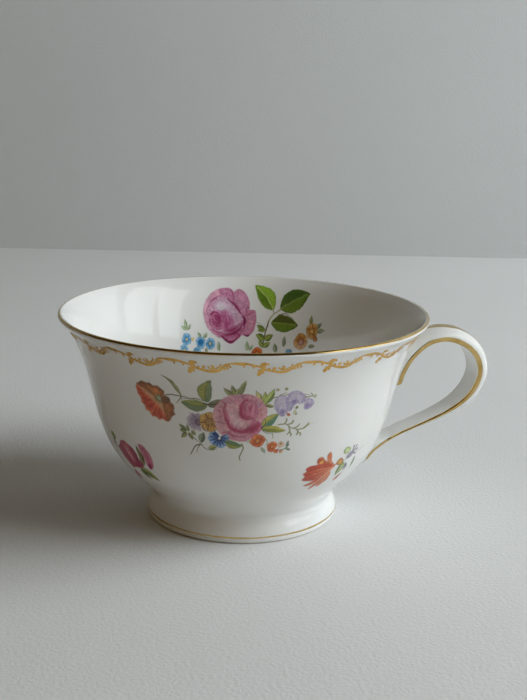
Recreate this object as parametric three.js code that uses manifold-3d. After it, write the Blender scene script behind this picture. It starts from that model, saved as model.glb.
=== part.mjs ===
// A footed porcelain teacup: flared bowl, turned foot ring, strap handle, slip joints,
// gilt lines and floral transfers, each as its own closed solid.
// Millimetres, +Z up. The handle points along +X. The origin is on the table plane,
// midway between the lip on the far side and the outermost point of the handle.

import * as THREE from "three";
import Module from "manifold-3d";
import { mergeVertices } from "three/addons/utils/BufferGeometryUtils.js";

const wasm = await Module();
wasm.setup();

// ---------- driving dimensions ----------

const LIP_RADIUS = 48.95; // over the gilding, were it carried down to level
const CUP_HEIGHT = 56.1; // over the gilding
const LIP_ROUNDING = 0.65; // radius of the porcelain lip
const LIP_FLARE = THREE.MathUtils.degToRad(38); // the wall's lean just under the lip
const WALL_AT_LIP = 1.3; // wall thickness under the lip
const WALL_AT_NECK = 2.6; // wall thickness at the bottom of the bowl
const WALL_TAPER_END = 0.87; // share of the wall's outline where it reaches its lip thickness
const FLOOR_HEIGHT = 9.8; // inside floor above the table, at its middle
const NECK_RADIUS = 24.6;
const BOWL_UNDERSIDE = 7; // the bowl's underside above the table
const FOOT_HEIGHT = 6.3;
const FOOT_RADIUS = 26;
const FOOT_REST_INNER = 23.9; // the flat ring that stands on the table
const FOOT_REST_OUTER = 25.4;
const FOOT_BORE_AT_TOP = 21.4; // inner radius of the foot ring where it meets the bowl

const HANDLE_WIDTH_AT_TOP = 11.2;
const HANDLE_WIDTH_AT_TAIL = 7.4;
const NARROWING_START = 0.15; // the strap narrows between these shares of its path
const NARROWING_END = 0.75;

const FILM_GAP = 0.12; // between porcelain and an applied film
const FILM_THICKNESS = 0.14;
const FILM_TOP = FILM_GAP + FILM_THICKNESS;
const SLIP_GAP = 0.12; // between a slip joint and the pieces that it lutes
const SLIP_THICKNESS = 0.4;
const SLIP_INSET = 0.2; // of the foot's slip joint, from the foot's bore
const TRANSFER_CLEARANCE = 0.22; // between the wall and a flower transfer

const FOOT_LINE_HEIGHT = 1.75; // middle of the gilt line round the foot
const FOOT_LINE_WIDTH = 0.5;
const LIP_LINE_START = THREE.MathUtils.degToRad(22); // round the lip, from level outwards
const LIP_LINE_END = THREE.MathUtils.degToRad(90);
const EDGE_LINE_WIDTH = 0.85; // gilt lines on the handle's side faces
const EDGE_LINE_WIDTH_AT_TAIL = 0.38;
const EDGE_LINE_INSET = 0.1; // from the edge of the strap's inner face

const BORDER_LOW = 49.9; // scroll border under the lip
const BORDER_HIGH = 52.9;
const BORDER_REPEATS = 18;
const BORDER_DROP = 1.2; // how far each scroll's tassel hangs below the border
const BORDER_RISE = 0.45;

const AROUND = 72; // facets round the cup
const FACETS_PER_SCROLL = AROUND / BORDER_REPEATS;

// Outer outline of the bowl, [radius, height], from the neck to the start of the lip's rounding.
const LIP_CENTRE = new THREE.Vector2(
  LIP_RADIUS - FILM_TOP - LIP_ROUNDING,
  CUP_HEIGHT - FILM_TOP - LIP_ROUNDING,
);
const WALL_OUTLINE = [
  [NECK_RADIUS, BOWL_UNDERSIDE],
  [26.0, 8.7],
  [29.6, 12.5],
  [33.1, 16.5],
  [36.3, 21.6],
  [38.7, 28],
  [40.2, 34],
  [42.1, 42],
  [43.75, 47],
  [45.35, 50.6],
  [47.1, 53.3],
  [
    LIP_CENTRE.x + LIP_ROUNDING * Math.cos(LIP_FLARE),
    LIP_CENTRE.y - LIP_ROUNDING * Math.sin(LIP_FLARE),
  ],
];

// Path of the middle of the strap's flat inner face, [distance from the cup's axis, height],
// from the upper tail, over the crown and back to the lower tail.
const HANDLE_PATH = [
  [42.6, 33.9],
  [43.9, 38.2],
  [45.7, 41.4],
  [48.2, 44.1],
  [51.0, 45.9],
  [54.4, 46.6],
  [58.0, 46.0],
  [61.3, 44.3],
  [63.9, 41.5],
  [65.1, 37.7],
  [64.3, 34.0],
  [61.9, 30.3],
  [57.8, 27.1],
  [52.6, 24.4],
  [48.0, 22.4],
  [43.7, 20.6],
  [40.8, 19.1],
  [38.1, 17.4],
  [35.8, 15.5],
  [34.1, 13.3],
  [33.0, 11.5],
];
const HANDLE_STATIONS = 40;
const UPPER_ROOT_END = 0.28; // share of the path that the upper root takes
// The strap's build along its path: share of the path, height of its flat side faces, rise
// of its domed outer face above them.
const HANDLE_BUILD = [
  [0, 1, 1.4],
  [0.15, 1, 1.8],
  [0.2, 1.1, 2],
  [0.24, 1.1, 2.3],
  [0.29, 1.15, 2.7],
  [0.45, 1.15, 2.8],
  [0.53, 1.1, 2.65],
  [0.63, 0.8, 1.8],
  [0.75, 0.5, 1.1],
  [1, 0.5, 1],
];
const TAIL_FROM = 0.5; // the strap's outer face flattens and its lines narrow between these
const TAIL_FULL = 0.75;
const LOWER_ROOT_START = 0.84;
const LOWER_ROOT_SINK = 3.8; // how far the lower tail thickens inwards, into the wall
const EDGE_LINE_START = 0.02; // the gilt edge lines run between these shares of the path
const EDGE_LINE_END = 0.97;
const SPINE_START = 0.2; // the brush stroke along the crown
const SPINE_END = 0.86;
const SPINE_WIDTH = 4.4;
const SPINE_TAIL_WIDTH = 1.2;

// ---------- materials ----------

function glaze(colour) {
  return new THREE.MeshStandardMaterial({ color: colour, roughness: 0.08, metalness: 0 });
}

function gilt() {
  return new THREE.MeshStandardMaterial({ color: 0xb8862f, roughness: 0.22, metalness: 1 });
}

function enamel(colour) {
  return new THREE.MeshStandardMaterial({ color: colour, roughness: 0.15, metalness: 0 });
}

const PORCELAIN = 0xe9e8e2;
const SLIP = 0xdedcd4;

// ---------- outlines ----------

function curveThrough(points) {
  const vectors = points.map(([x, y]) => new THREE.Vector3(x, y, 0));
  return new THREE.CatmullRomCurve3(vectors, false, "centripetal");
}

const wallCurve = curveThrough(WALL_OUTLINE);
const handleCurve = curveThrough(HANDLE_PATH);

// A point of the wall's outer outline moved outwards by offset; share runs 0 to 1 up the wall.
function wallPoint(share, offset = 0) {
  const at = wallCurve.getPointAt(share);
  const along = wallCurve.getTangentAt(share);
  return new THREE.Vector2(at.x + along.y * offset, at.y - along.x * offset);
}

const BISECTION_STEPS = 30;

// The share of the wall's outline that lies at a height.
function shareAtHeight(height) {
  let low = 0;
  let high = 1;
  for (let step = 0; step < BISECTION_STEPS; step += 1) {
    const middle = (low + high) / 2;
    if (wallCurve.getPointAt(middle).y < height) low = middle;
    else high = middle;
  }
  return (low + high) / 2;
}

function wallThickness(share) {
  return THREE.MathUtils.lerp(WALL_AT_NECK, WALL_AT_LIP, Math.min(1, share / WALL_TAPER_END));
}

function arc(centre, radius, fromAngle, toAngle, steps) {
  const points = [];
  for (let i = 0; i <= steps; i += 1) {
    const angle = THREE.MathUtils.lerp(fromAngle, toAngle, i / steps);
    points.push(
      new THREE.Vector2(
        centre.x + radius * Math.cos(angle),
        centre.y + radius * Math.sin(angle),
      ),
    );
  }
  return points;
}

function vectors(points) {
  return points.map(([x, y]) => new THREE.Vector2(x, y));
}

function turned(profile) {
  const geometry = new THREE.LatheGeometry(profile, AROUND);
  geometry.rotateX(Math.PI / 2);
  return geometry;
}

// ---------- booleans ----------

const MERGE_DISTANCE = 1e-4;

// A manifold solid from a closed geometry: vertices merged, collapsed triangles dropped.
function solid(geometry) {
  const bare = geometry.clone();
  bare.deleteAttribute("normal");
  bare.deleteAttribute("uv");
  const merged = mergeVertices(bare, MERGE_DISTANCE);
  const index = merged.index.array;
  const triangles = [];
  for (let i = 0; i < index.length; i += 3) {
    const [a, b, c] = [index[i], index[i + 1], index[i + 2]];
    if (a !== b && b !== c && c !== a) triangles.push(a, b, c);
  }
  const mesh = new wasm.Mesh({
    numProp: 3,
    vertProperties: new Float32Array(merged.attributes.position.array),
    triVerts: new Uint32Array(triangles),
  });
  return new wasm.Manifold(mesh);
}

function geometryOf(manifold) {
  const mesh = manifold.getMesh();
  const geometry = new THREE.BufferGeometry();
  geometry.setAttribute("position", new THREE.BufferAttribute(mesh.vertProperties, 3));
  geometry.setIndex(new THREE.BufferAttribute(mesh.triVerts, 1));
  geometry.computeVertexNormals();
  return geometry;
}

// ---------- closed lofts ----------

// Skin over sections of equal point counts. Each section is a loop, counter-clockwise seen
// from where the loft goes; closed joins the last section to the first.
function loft(sections, closed = false) {
  const size = sections[0].length;
  const position = sections.flat().flatMap((point) => [point.x, point.y, point.z]);
  const index = [];
  const spans = closed ? sections.length : sections.length - 1;
  for (let i = 0; i < spans; i += 1) {
    const here = i * size;
    const next = ((i + 1) % sections.length) * size;
    for (let j = 0; j < size; j += 1) {
      const k = (j + 1) % size;
      index.push(here + j, here + k, next + j);
      index.push(here + k, next + k, next + j);
    }
  }
  if (!closed) {
    const last = (sections.length - 1) * size;
    for (let j = 1; j < size - 1; j += 1) {
      index.push(0, j + 1, j);
      index.push(last, last + j, last + j + 1);
    }
  }
  const geometry = new THREE.BufferGeometry();
  geometry.setAttribute("position", new THREE.Float32BufferAttribute(position, 3));
  geometry.setIndex(index);
  geometry.computeVertexNormals();
  return geometry;
}

// ---------- bowl ----------

const WALL_STEPS = 20;
const INNER_STEPS = 10;
const LIP_STEPS = 5;
const INNER_START_SHARE = 0.06; // where the inner wall turns into the floor
const INNER_END_SHARE = 0.98;
const WELL_RADIUS_SHARE = 0.8; // the well's edge, as a share of the inner wall's lowest radius
const WELL_DROP = 0.85; // and how far down it is from there to the floor

function bowlProfile() {
  const outside = [];
  for (let i = 0; i <= WALL_STEPS; i += 1) outside.push(wallPoint(i / WALL_STEPS));
  const lip = arc(LIP_CENTRE, LIP_ROUNDING, -LIP_FLARE, Math.PI - LIP_FLARE, LIP_STEPS);
  const inside = [];
  for (let i = INNER_STEPS; i >= 0; i -= 1) {
    const share = THREE.MathUtils.lerp(INNER_START_SHARE, INNER_END_SHARE, i / INNER_STEPS);
    inside.push(wallPoint(share, -wallThickness(share)));
  }
  const last = inside[inside.length - 1];
  return [
    new THREE.Vector2(0, BOWL_UNDERSIDE),
    ...outside,
    ...lip.slice(1),
    ...inside,
    new THREE.Vector2(
      last.x * WELL_RADIUS_SHARE,
      THREE.MathUtils.lerp(last.y, FLOOR_HEIGHT, WELL_DROP),
    ),
    new THREE.Vector2(0, FLOOR_HEIGHT),
  ];
}

// The solid of revolution of the bowl's outer outline, grown by offset.
function wallEnvelope(offset) {
  const outside = [];
  for (let i = 0; i <= WALL_STEPS; i += 1) outside.push(wallPoint(i / WALL_STEPS, offset));
  const bottom = new THREE.Vector2(0, outside[0].y);
  const top = new THREE.Vector2(0, outside[WALL_STEPS].y);
  return solid(turned([bottom, ...outside, top]));
}

// ---------- foot ring and its slip joint ----------

// The foot ring's section, [radius, height].
const FOOT_SECTION = [
  [FOOT_REST_INNER, 0],
  [FOOT_REST_OUTER, 0],
  [25.9, 0.5],
  [FOOT_RADIUS, 1.4],
  [25.85, 2.5],
  [25.4, 3.9],
  [24.9, 5.1],
  [NECK_RADIUS, FOOT_HEIGHT],
  [FOOT_BORE_AT_TOP, FOOT_HEIGHT],
  [22.3, 3.4],
  [23.4, 0.5],
  [FOOT_REST_INNER, 0],
];

function footSlipProfile() {
  const low = FOOT_HEIGHT + SLIP_GAP;
  const high = BOWL_UNDERSIDE - SLIP_GAP;
  const inner = FOOT_BORE_AT_TOP + SLIP_INSET;
  return vectors([
    [inner, low],
    [NECK_RADIUS, low],
    [NECK_RADIUS, high],
    [inner, high],
    [inner, low],
  ]);
}

// ---------- handle ----------

const DOME_STEPS = 8;

function handleWidth(share) {
  return THREE.MathUtils.lerp(
    HANDLE_WIDTH_AT_TOP,
    HANDLE_WIDTH_AT_TAIL,
    THREE.MathUtils.smoothstep(share, NARROWING_START, NARROWING_END),
  );
}

// The strap's side height and dome rise at a share of its path.
function handleBuild(share) {
  const last = HANDLE_BUILD.length - 1;
  const next = Math.max(1, Math.min(last, HANDLE_BUILD.findIndex((row) => row[0] >= share)));
  const [from, side, dome] = HANDLE_BUILD[next - 1];
  const [to, nextSide, nextDome] = HANDLE_BUILD[next];
  const t = (share - from) / (to - from);
  return {
    side: THREE.MathUtils.lerp(side, nextSide, t),
    dome: THREE.MathUtils.lerp(dome, nextDome, t),
  };
}

function towardsTail(atTop, atTail, share) {
  const tail = THREE.MathUtils.smoothstep(share, TAIL_FROM, TAIL_FULL);
  return THREE.MathUtils.lerp(atTop, atTail, tail);
}

// The lower tail thickens inwards until it runs into the wall.
function rootSink(share) {
  return LOWER_ROOT_SINK * THREE.MathUtils.smoothstep(share, LOWER_ROOT_START, 1);
}

// The strap's own axes at a share of its path: origin, and the outward direction.
function handleFrame(share) {
  const at = handleCurve.getPointAt(share);
  const along = handleCurve.getTangentAt(share);
  return { at, outward: new THREE.Vector2(-along.y, along.x) };
}

// A point of the strap's section: across is along Y, rise is outward from the inner face.
function strapPoint(share, across, rise) {
  const { at, outward } = handleFrame(share);
  return new THREE.Vector3(at.x + outward.x * rise, across, at.y + outward.y * rise);
}

// The outer face's height: a half ellipse at the crown, a flatter arch at the tail.
function domeRise(share, across) {
  const half = handleWidth(share) / 2;
  const { side, dome } = handleBuild(share);
  return side + dome * Math.max(0, 1 - (across / half) ** 2) ** towardsTail(0.5, 1, share);
}

function strapSection(share) {
  const half = handleWidth(share) / 2;
  const inner = -rootSink(share);
  const points = [strapPoint(share, half, inner)];
  for (let i = 0; i <= DOME_STEPS; i += 1) {
    const across = half * Math.cos((Math.PI * i) / DOME_STEPS);
    points.push(strapPoint(share, across, domeRise(share, across)));
  }
  points.push(strapPoint(share, -half, inner));
  return points;
}

function strap(from, to, stations) {
  const sections = [];
  for (let i = 0; i <= stations; i += 1) {
    sections.push(strapSection(THREE.MathUtils.lerp(from, to, i / stations)));
  }
  return loft(sections);
}

function handleGeometry() {
  const clear = 2 * SLIP_GAP + SLIP_THICKNESS;
  return geometryOf(solid(strap(0, 1, HANDLE_STATIONS)).subtract(wallEnvelope(clear)));
}

// The layer of slip between the wall and one root of the strap.
function handleSlipGeometry(from, to) {
  const layer = wallEnvelope(SLIP_GAP + SLIP_THICKNESS).subtract(wallEnvelope(SLIP_GAP));
  return geometryOf(solid(strap(from, to, HANDLE_STATIONS / 4)).intersect(layer));
}

// ---------- gilding ----------

function lipGildingProfile() {
  const [from, to] = [LIP_LINE_START, LIP_LINE_END];
  const inner = arc(LIP_CENTRE, LIP_ROUNDING + FILM_GAP, to, from, LIP_STEPS);
  const outer = arc(LIP_CENTRE, LIP_ROUNDING + FILM_TOP, from, to, LIP_STEPS);
  return [...inner, ...outer, inner[0].clone()];
}

function footGildingProfile() {
  const half = FOOT_LINE_WIDTH / 2;
  const inner = FOOT_RADIUS + FILM_GAP;
  const outer = FOOT_RADIUS + FILM_TOP;
  return vectors([
    [inner, FOOT_LINE_HEIGHT - half],
    [outer, FOOT_LINE_HEIGHT - half],
    [outer, FOOT_LINE_HEIGHT + half],
    [inner, FOOT_LINE_HEIGHT + half],
    [inner, FOOT_LINE_HEIGHT - half],
  ]);
}

const EDGE_STATIONS = 34;

// A gilt line on one side face of the strap; side is -1 for the front and 1 for the back.
function edgeLine(side) {
  const sections = [];
  for (let i = 0; i <= EDGE_STATIONS; i += 1) {
    const share = THREE.MathUtils.lerp(EDGE_LINE_START, EDGE_LINE_END, i / EDGE_STATIONS);
    const face = handleWidth(share) / 2;
    const low = EDGE_LINE_INSET;
    const high = low + towardsTail(EDGE_LINE_WIDTH, EDGE_LINE_WIDTH_AT_TAIL, share);
    const section = [
      strapPoint(share, side * (face + FILM_GAP), low),
      strapPoint(share, side * (face + FILM_TOP), low),
      strapPoint(share, side * (face + FILM_TOP), high),
      strapPoint(share, side * (face + FILM_GAP), high),
    ];
    sections.push(side > 0 ? section : section.reverse());
  }
  return loft(sections);
}

const SPINE_STATIONS = 26;
const SPINE_SWELL_FROM = -0.02; // the stroke's swelling and fading, as shares of its own run
const SPINE_SWELL_TO = 0.1;
const SPINE_FADE_FROM = 0.17;
const SPINE_FADE_TO = 0.34;
const SPINE_STEPS = 4;

// Half the width of the brush stroke: pointed at its start, full over the crown, then a tail.
function spineHalfWidth(share) {
  const run = (share - SPINE_START) / (SPINE_END - SPINE_START);
  const swell = THREE.MathUtils.smoothstep(run, SPINE_SWELL_FROM, SPINE_SWELL_TO);
  const fade = THREE.MathUtils.smoothstep(run, SPINE_FADE_FROM, SPINE_FADE_TO);
  return (swell * THREE.MathUtils.lerp(SPINE_WIDTH, SPINE_TAIL_WIDTH, fade)) / 2;
}

function spineStroke() {
  const sections = [];
  for (let i = 0; i <= SPINE_STATIONS; i += 1) {
    const share = THREE.MathUtils.lerp(SPINE_START, SPINE_END, i / SPINE_STATIONS);
    const half = spineHalfWidth(share);
    const under = [];
    const over = [];
    for (let j = 0; j <= SPINE_STEPS; j += 1) {
      const across = THREE.MathUtils.lerp(-half, half, j / SPINE_STEPS);
      under.push(strapPoint(share, across, domeRise(share, across) + FILM_GAP));
      over.push(strapPoint(share, -across, domeRise(share, across) + FILM_TOP));
    }
    sections.push([...under, ...over]);
  }
  return loft(sections);
}

// ---------- transfers ----------

// A point of the film on the wall. Turn is the angle round the cup from the handle; the film
// stands proud by lift, outside the wall or inside the bowl.
function filmPoint(turn, height, lift, inside) {
  const share = shareAtHeight(height);
  const profile = wallPoint(share, inside ? -wallThickness(share) - lift : lift);
  return new THREE.Vector3(profile.x * Math.cos(turn), profile.x * Math.sin(turn), profile.y);
}

// The scroll border: a ring with a wavy top edge and a tassel hanging under each scroll.
function scrollBorder() {
  const sections = [];
  for (let i = 0; i < AROUND; i += 1) {
    const turn = (2 * Math.PI * i) / AROUND;
    const phase = (2 * Math.PI * (i % FACETS_PER_SCROLL)) / FACETS_PER_SCROLL;
    const low = BORDER_LOW - (BORDER_DROP * (1 + Math.cos(phase))) / 2;
    const high = BORDER_HIGH + BORDER_RISE * Math.sin(phase);
    const middle = (low + high) / 2;
    sections.push([
      filmPoint(turn, low, FILM_GAP, false),
      filmPoint(turn, middle, FILM_GAP, false),
      filmPoint(turn, high, FILM_GAP, false),
      filmPoint(turn, high, FILM_TOP, false),
      filmPoint(turn, middle, FILM_TOP, false),
      filmPoint(turn, low, FILM_TOP, false),
    ]);
  }
  return loft(sections, true);
}

const SCALLOP_DEPTH = 0.07;

// A flower transfer: a scalloped oval of film laid on the wall. Half sizes in mm, turn in
// degrees round the cup from the handle, height of its middle above the table.
function transfer({ turn, height, halfWidth, halfHeight, petals, rings, spokes, inside }) {
  const middleTurn = THREE.MathUtils.degToRad(turn);
  const reach = wallPoint(shareAtHeight(height)).x;
  const place = (ring, spoke, lift) => {
    const angle = (2 * Math.PI * spoke) / spokes;
    const scallop = 1 - SCALLOP_DEPTH * (1 - Math.cos(petals * angle));
    const grow = (ring / rings) * scallop;
    const across = (halfWidth * grow * Math.cos(angle)) / reach;
    const up = halfHeight * grow * Math.sin(angle);
    return filmPoint(middleTurn + across, height + up, lift, inside);
  };
  const position = [];
  const index = [];
  const face = (lift) => {
    const start = position.length / 3;
    position.push(...place(0, 0, lift).toArray());
    for (let ring = 1; ring <= rings; ring += 1) {
      for (let spoke = 0; spoke < spokes; spoke += 1) {
        position.push(...place(ring, spoke, lift).toArray());
      }
    }
    return start;
  };
  const under = face(TRANSFER_CLEARANCE);
  const over = face(TRANSFER_CLEARANCE + FILM_THICKNESS);
  const add = (a, b, c) => (inside ? index.push(a, c, b) : index.push(a, b, c));
  const at = (start, ring, spoke) => start + 1 + (ring - 1) * spokes + (spoke % spokes);
  for (let j = 0; j < spokes; j += 1) {
    add(over, at(over, 1, j), at(over, 1, j + 1));
    add(under, at(under, 1, j + 1), at(under, 1, j));
    for (let ring = 1; ring < rings; ring += 1) {
      add(at(over, ring, j), at(over, ring + 1, j), at(over, ring + 1, j + 1));
      add(at(over, ring, j), at(over, ring + 1, j + 1), at(over, ring, j + 1));
      add(at(under, ring, j), at(under, ring + 1, j + 1), at(under, ring + 1, j));
      add(at(under, ring, j), at(under, ring, j + 1), at(under, ring + 1, j + 1));
    }
    add(at(over, rings, j), at(under, rings, j), at(under, rings, j + 1));
    add(at(over, rings, j), at(under, rings, j + 1), at(over, rings, j + 1));
  }
  const geometry = new THREE.BufferGeometry();
  geometry.setAttribute("position", new THREE.Float32BufferAttribute(position, 3));
  geometry.setIndex(index);
  geometry.computeVertexNormals();
  return geometry;
}

const SPRAY = { height: 37.9, halfWidth: 25, halfHeight: 10.2, petals: 7, rings: 6, spokes: 32 };
const SPRIG = { height: 22, halfWidth: 8.2, halfHeight: 6.2, petals: 5, rings: 3, spokes: 16 };
const FRONT_SPRAY_TURN = -104;
const BACK_SPRAY_TURN = 104;
const FRONT_LEFT_SPRIG_TURN = -148;
const FRONT_RIGHT_SPRIG_TURN = -64;

// ---------- assembly ----------

function part(name, geometry, material) {
  const mesh = new THREE.Mesh(geometry, material);
  mesh.name = name;
  return mesh;
}

const cup = new THREE.Group();

cup.add(part("bowl", turned(bowlProfile()), glaze(PORCELAIN)));
cup.add(part("foot_ring", turned(vectors(FOOT_SECTION)), glaze(PORCELAIN)));
cup.add(part("foot_slip_joint", turned(footSlipProfile()), glaze(SLIP)));
cup.add(part("handle", handleGeometry(), glaze(PORCELAIN)));
cup.add(part("upper_handle_slip_joint", handleSlipGeometry(0, UPPER_ROOT_END), glaze(SLIP)));
cup.add(part("lower_handle_slip_joint", handleSlipGeometry(LOWER_ROOT_START, 1), glaze(SLIP)));

cup.add(part("rim_gilding", turned(lipGildingProfile()), gilt()));
cup.add(part("foot_gilding", turned(footGildingProfile()), gilt()));
cup.add(part("handle_front_edge_gilding", edgeLine(-1), gilt()));
cup.add(part("handle_back_edge_gilding", edgeLine(1), gilt()));
cup.add(part("handle_spine_gilding", spineStroke(), gilt()));
cup.add(part("scroll_border_transfer", scrollBorder(), gilt()));

const transfers = {
  front_spray_transfer: [{ ...SPRAY, turn: FRONT_SPRAY_TURN }, 0xd58a9c],
  back_spray_transfer: [{ ...SPRAY, turn: BACK_SPRAY_TURN }, 0xd58a9c],
  interior_spray_transfer: [
    { ...SPRAY, turn: 77, height: 43.6, halfWidth: 22, halfHeight: 9.4, inside: true },
    0xc77a98,
  ],
  front_left_sprig_transfer: [{ ...SPRIG, turn: FRONT_LEFT_SPRIG_TURN }, 0xb04a70],
  front_right_sprig_transfer: [{ ...SPRIG, turn: FRONT_RIGHT_SPRIG_TURN }, 0xd2683c],
  back_left_sprig_transfer: [{ ...SPRIG, turn: -FRONT_LEFT_SPRIG_TURN }, 0xb04a70],
  back_right_sprig_transfer: [{ ...SPRIG, turn: -FRONT_RIGHT_SPRIG_TURN }, 0xd2683c],
};
for (const [name, [shape, colour]] of Object.entries(transfers)) {
  cup.add(part(name, transfer(shape), enamel(colour)));
}

// The outermost point of the handle is a little past its path, on the domed crown.
function handleReach() {
  let reach = 0;
  for (let i = 0; i <= HANDLE_STATIONS; i += 1) {
    const share = i / HANDLE_STATIONS;
    reach = Math.max(reach, strapPoint(share, 0, domeRise(share, 0)).x);
    const onSpine = share > SPINE_START && share < SPINE_END;
    if (onSpine) reach = Math.max(reach, strapPoint(share, 0, domeRise(share, 0) + FILM_TOP).x);
  }
  return reach;
}

cup.position.x = (LIP_RADIUS - handleReach()) / 2;

const assembly = new THREE.Group();
assembly.add(cup);

export default assembly;
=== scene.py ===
"""A footed porcelain teacup: glazed bowl, foot and strap handle, gilt lines, a gold scroll
border under the lip and painted flower transfers, on a pale table in soft window light."""

import math

import bpy
import numpy as np
from mathutils import Matrix, Vector
from mathutils.bvhtree import BVHTree


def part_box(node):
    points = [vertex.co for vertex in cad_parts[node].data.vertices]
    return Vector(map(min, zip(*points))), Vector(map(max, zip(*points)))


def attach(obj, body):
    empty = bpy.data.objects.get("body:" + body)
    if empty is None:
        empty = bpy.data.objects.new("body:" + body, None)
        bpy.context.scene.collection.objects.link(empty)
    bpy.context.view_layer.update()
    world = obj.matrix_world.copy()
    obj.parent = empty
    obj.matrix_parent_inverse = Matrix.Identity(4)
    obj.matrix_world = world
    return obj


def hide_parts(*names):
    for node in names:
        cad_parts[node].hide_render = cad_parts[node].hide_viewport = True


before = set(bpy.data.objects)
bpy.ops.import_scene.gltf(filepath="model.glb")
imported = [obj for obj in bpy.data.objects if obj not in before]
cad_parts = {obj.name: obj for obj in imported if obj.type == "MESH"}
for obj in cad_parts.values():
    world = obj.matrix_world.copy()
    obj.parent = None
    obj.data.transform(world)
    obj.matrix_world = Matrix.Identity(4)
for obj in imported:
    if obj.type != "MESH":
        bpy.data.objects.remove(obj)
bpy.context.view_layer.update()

MM = 0.001
bowl_low, bowl_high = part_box("bowl")
AXIS_X = (bowl_low.x + bowl_high.x) / 2  # the cup's axis, in metres

# ---------- dimensions, in millimetres from the cup's axis and the table ----------

LIP_CENTRE = np.array([48.04, 55.19])
LIP_ROUNDING = 0.65
LIP_FLARE = math.radians(38)
WALL_AT_NECK = 2.6
WALL_AT_LIP = 1.3
NECK_LOW = 6.3  # the slip joint between foot and bowl
NECK_HIGH = 7.0
FLOOR_HEIGHT = 9.8
FOOT_OUTLINE = [
    (25.4, 0), (25.9, 0.5), (26, 1.4), (25.85, 2.5), (25.4, 3.9), (24.9, 5.1), (24.6, NECK_LOW),
]
WALL_OUTLINE = [
    (24.75, NECK_HIGH), (26.0, 8.7), (29.6, 12.5), (33.1, 16.5), (36.3, 21.6), (38.7, 28),
    (40.2, 34), (42.1, 42), (43.75, 47), (45.35, 50.6), (47.1, 53.3),
    (
        LIP_CENTRE[0] + LIP_ROUNDING * math.cos(LIP_FLARE),
        LIP_CENTRE[1] - LIP_ROUNDING * math.sin(LIP_FLARE),
    ),
]
FOOT_BORE = [(21.4, NECK_LOW), (22.3, 3.4), (23.4, 0.5), (23.9, 0)]
FOOT_LINE_HEIGHT = 1.75

HANDLE_PATH = [
    (42.6, 33.9), (43.9, 38.2), (45.7, 41.4), (48.2, 44.1), (51.0, 45.9), (54.4, 46.6),
    (58.0, 46.0), (61.3, 44.3), (63.9, 41.5), (65.1, 37.7), (64.3, 34.0), (61.9, 30.3),
    (57.8, 27.1), (52.6, 24.4), (48.0, 22.4), (43.7, 20.6), (40.8, 19.1), (38.1, 17.4),
    (35.8, 15.5), (34.1, 13.3), (33.0, 11.5),
]
HANDLE_WIDTH_AT_TOP = 11.2
HANDLE_WIDTH_AT_TAIL = 7.4
NARROWING_START = 0.15
NARROWING_END = 0.75
# share of the path, height of the flat side faces, rise of the domed outer face above them
HANDLE_BUILD = np.array([
    (0, 1, 1.4), (0.15, 1, 1.8), (0.2, 1.1, 2), (0.24, 1.1, 2.3), (0.29, 1.15, 2.7),
    (0.45, 1.15, 2.8), (0.53, 1.1, 2.65), (0.63, 0.8, 1.8), (0.75, 0.5, 1.1), (1, 0.5, 1),
])
HANDLE_CORNER = 0.35  # rounding of the inner face's edges
LOWER_ROOT_START = 0.84
LOWER_ROOT_SINK = 3.8
SPINE_START = 0.2
SPINE_END = 0.86

FILM = 0.03  # how far a fired film stands proud
SUNK = 0.02  # how far its underside is bedded in the glaze

# ---------- curves ----------


def lerp(a, b, share):
    return a + (b - a) * share


def smoothstep(x, low, high):
    x = np.clip((x - low) / (high - low), 0, 1)
    return x * x * (3 - 2 * x)


def curve(points, steps=16, closed=False):
    """The centripetal Catmull-Rom curve through the points, as a dense polyline."""
    p = np.asarray(points, float)
    if closed:
        p = np.vstack([p[-1], p, p[:2]])
    else:
        p = np.vstack([2 * p[0] - p[1], p, 2 * p[-1] - p[-2]])
    run = np.linalg.norm(np.diff(p, axis=0), axis=1) ** 0.5 + 1e-9
    t = np.linspace(0, 1, steps, endpoint=False)[:, None]
    out = []
    for i in range(1, len(p) - 2):
        a, b, c = run[i - 1], run[i], run[i + 1]
        m1 = ((p[i] - p[i - 1]) / a - (p[i + 1] - p[i - 1]) / (a + b) + (p[i + 1] - p[i]) / b) * b
        m2 = ((p[i + 1] - p[i]) / b - (p[i + 2] - p[i]) / (b + c) + (p[i + 2] - p[i + 1]) / c) * b
        rest = p[i + 1] - p[i]
        out.append(p[i] + m1 * t + (3 * rest - 2 * m1 - m2) * t**2 + (m1 + m2 - 2 * rest) * t**3)
    if not closed:
        out.append(p[-2][None])
    return np.vstack(out)


def lengths(poly):
    return np.concatenate([[0], np.cumsum(np.linalg.norm(np.diff(poly, axis=0), axis=1))])


def at_lengths(poly, wanted):
    run = lengths(poly)
    return np.stack([np.interp(wanted, run, poly[:, k]) for k in range(poly.shape[1])], axis=1)


def tangents(poly):
    d = np.gradient(poly, axis=0)
    return d / np.linalg.norm(d, axis=1)[:, None]


OUTLINE = curve(FOOT_OUTLINE + WALL_OUTLINE, 40)
FOOT_SIDE = OUTLINE[OUTLINE[:, 1] <= NECK_LOW + 1e-9]
NECK_SIDE = OUTLINE[(OUTLINE[:, 1] >= NECK_LOW - 1e-9) & (OUTLINE[:, 1] <= NECK_HIGH + 1e-9)]
WALL_SIDE = OUTLINE[OUTLINE[:, 1] >= NECK_HIGH - 1e-9]
WALL_RUN = lengths(WALL_SIDE)
WALL_SLOPE = np.gradient(WALL_SIDE[:, 0], WALL_SIDE[:, 1])


def wall_thickness(share):
    return WALL_AT_NECK + (WALL_AT_LIP - WALL_AT_NECK) * (1 - (1 - share) ** 1.6)


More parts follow.
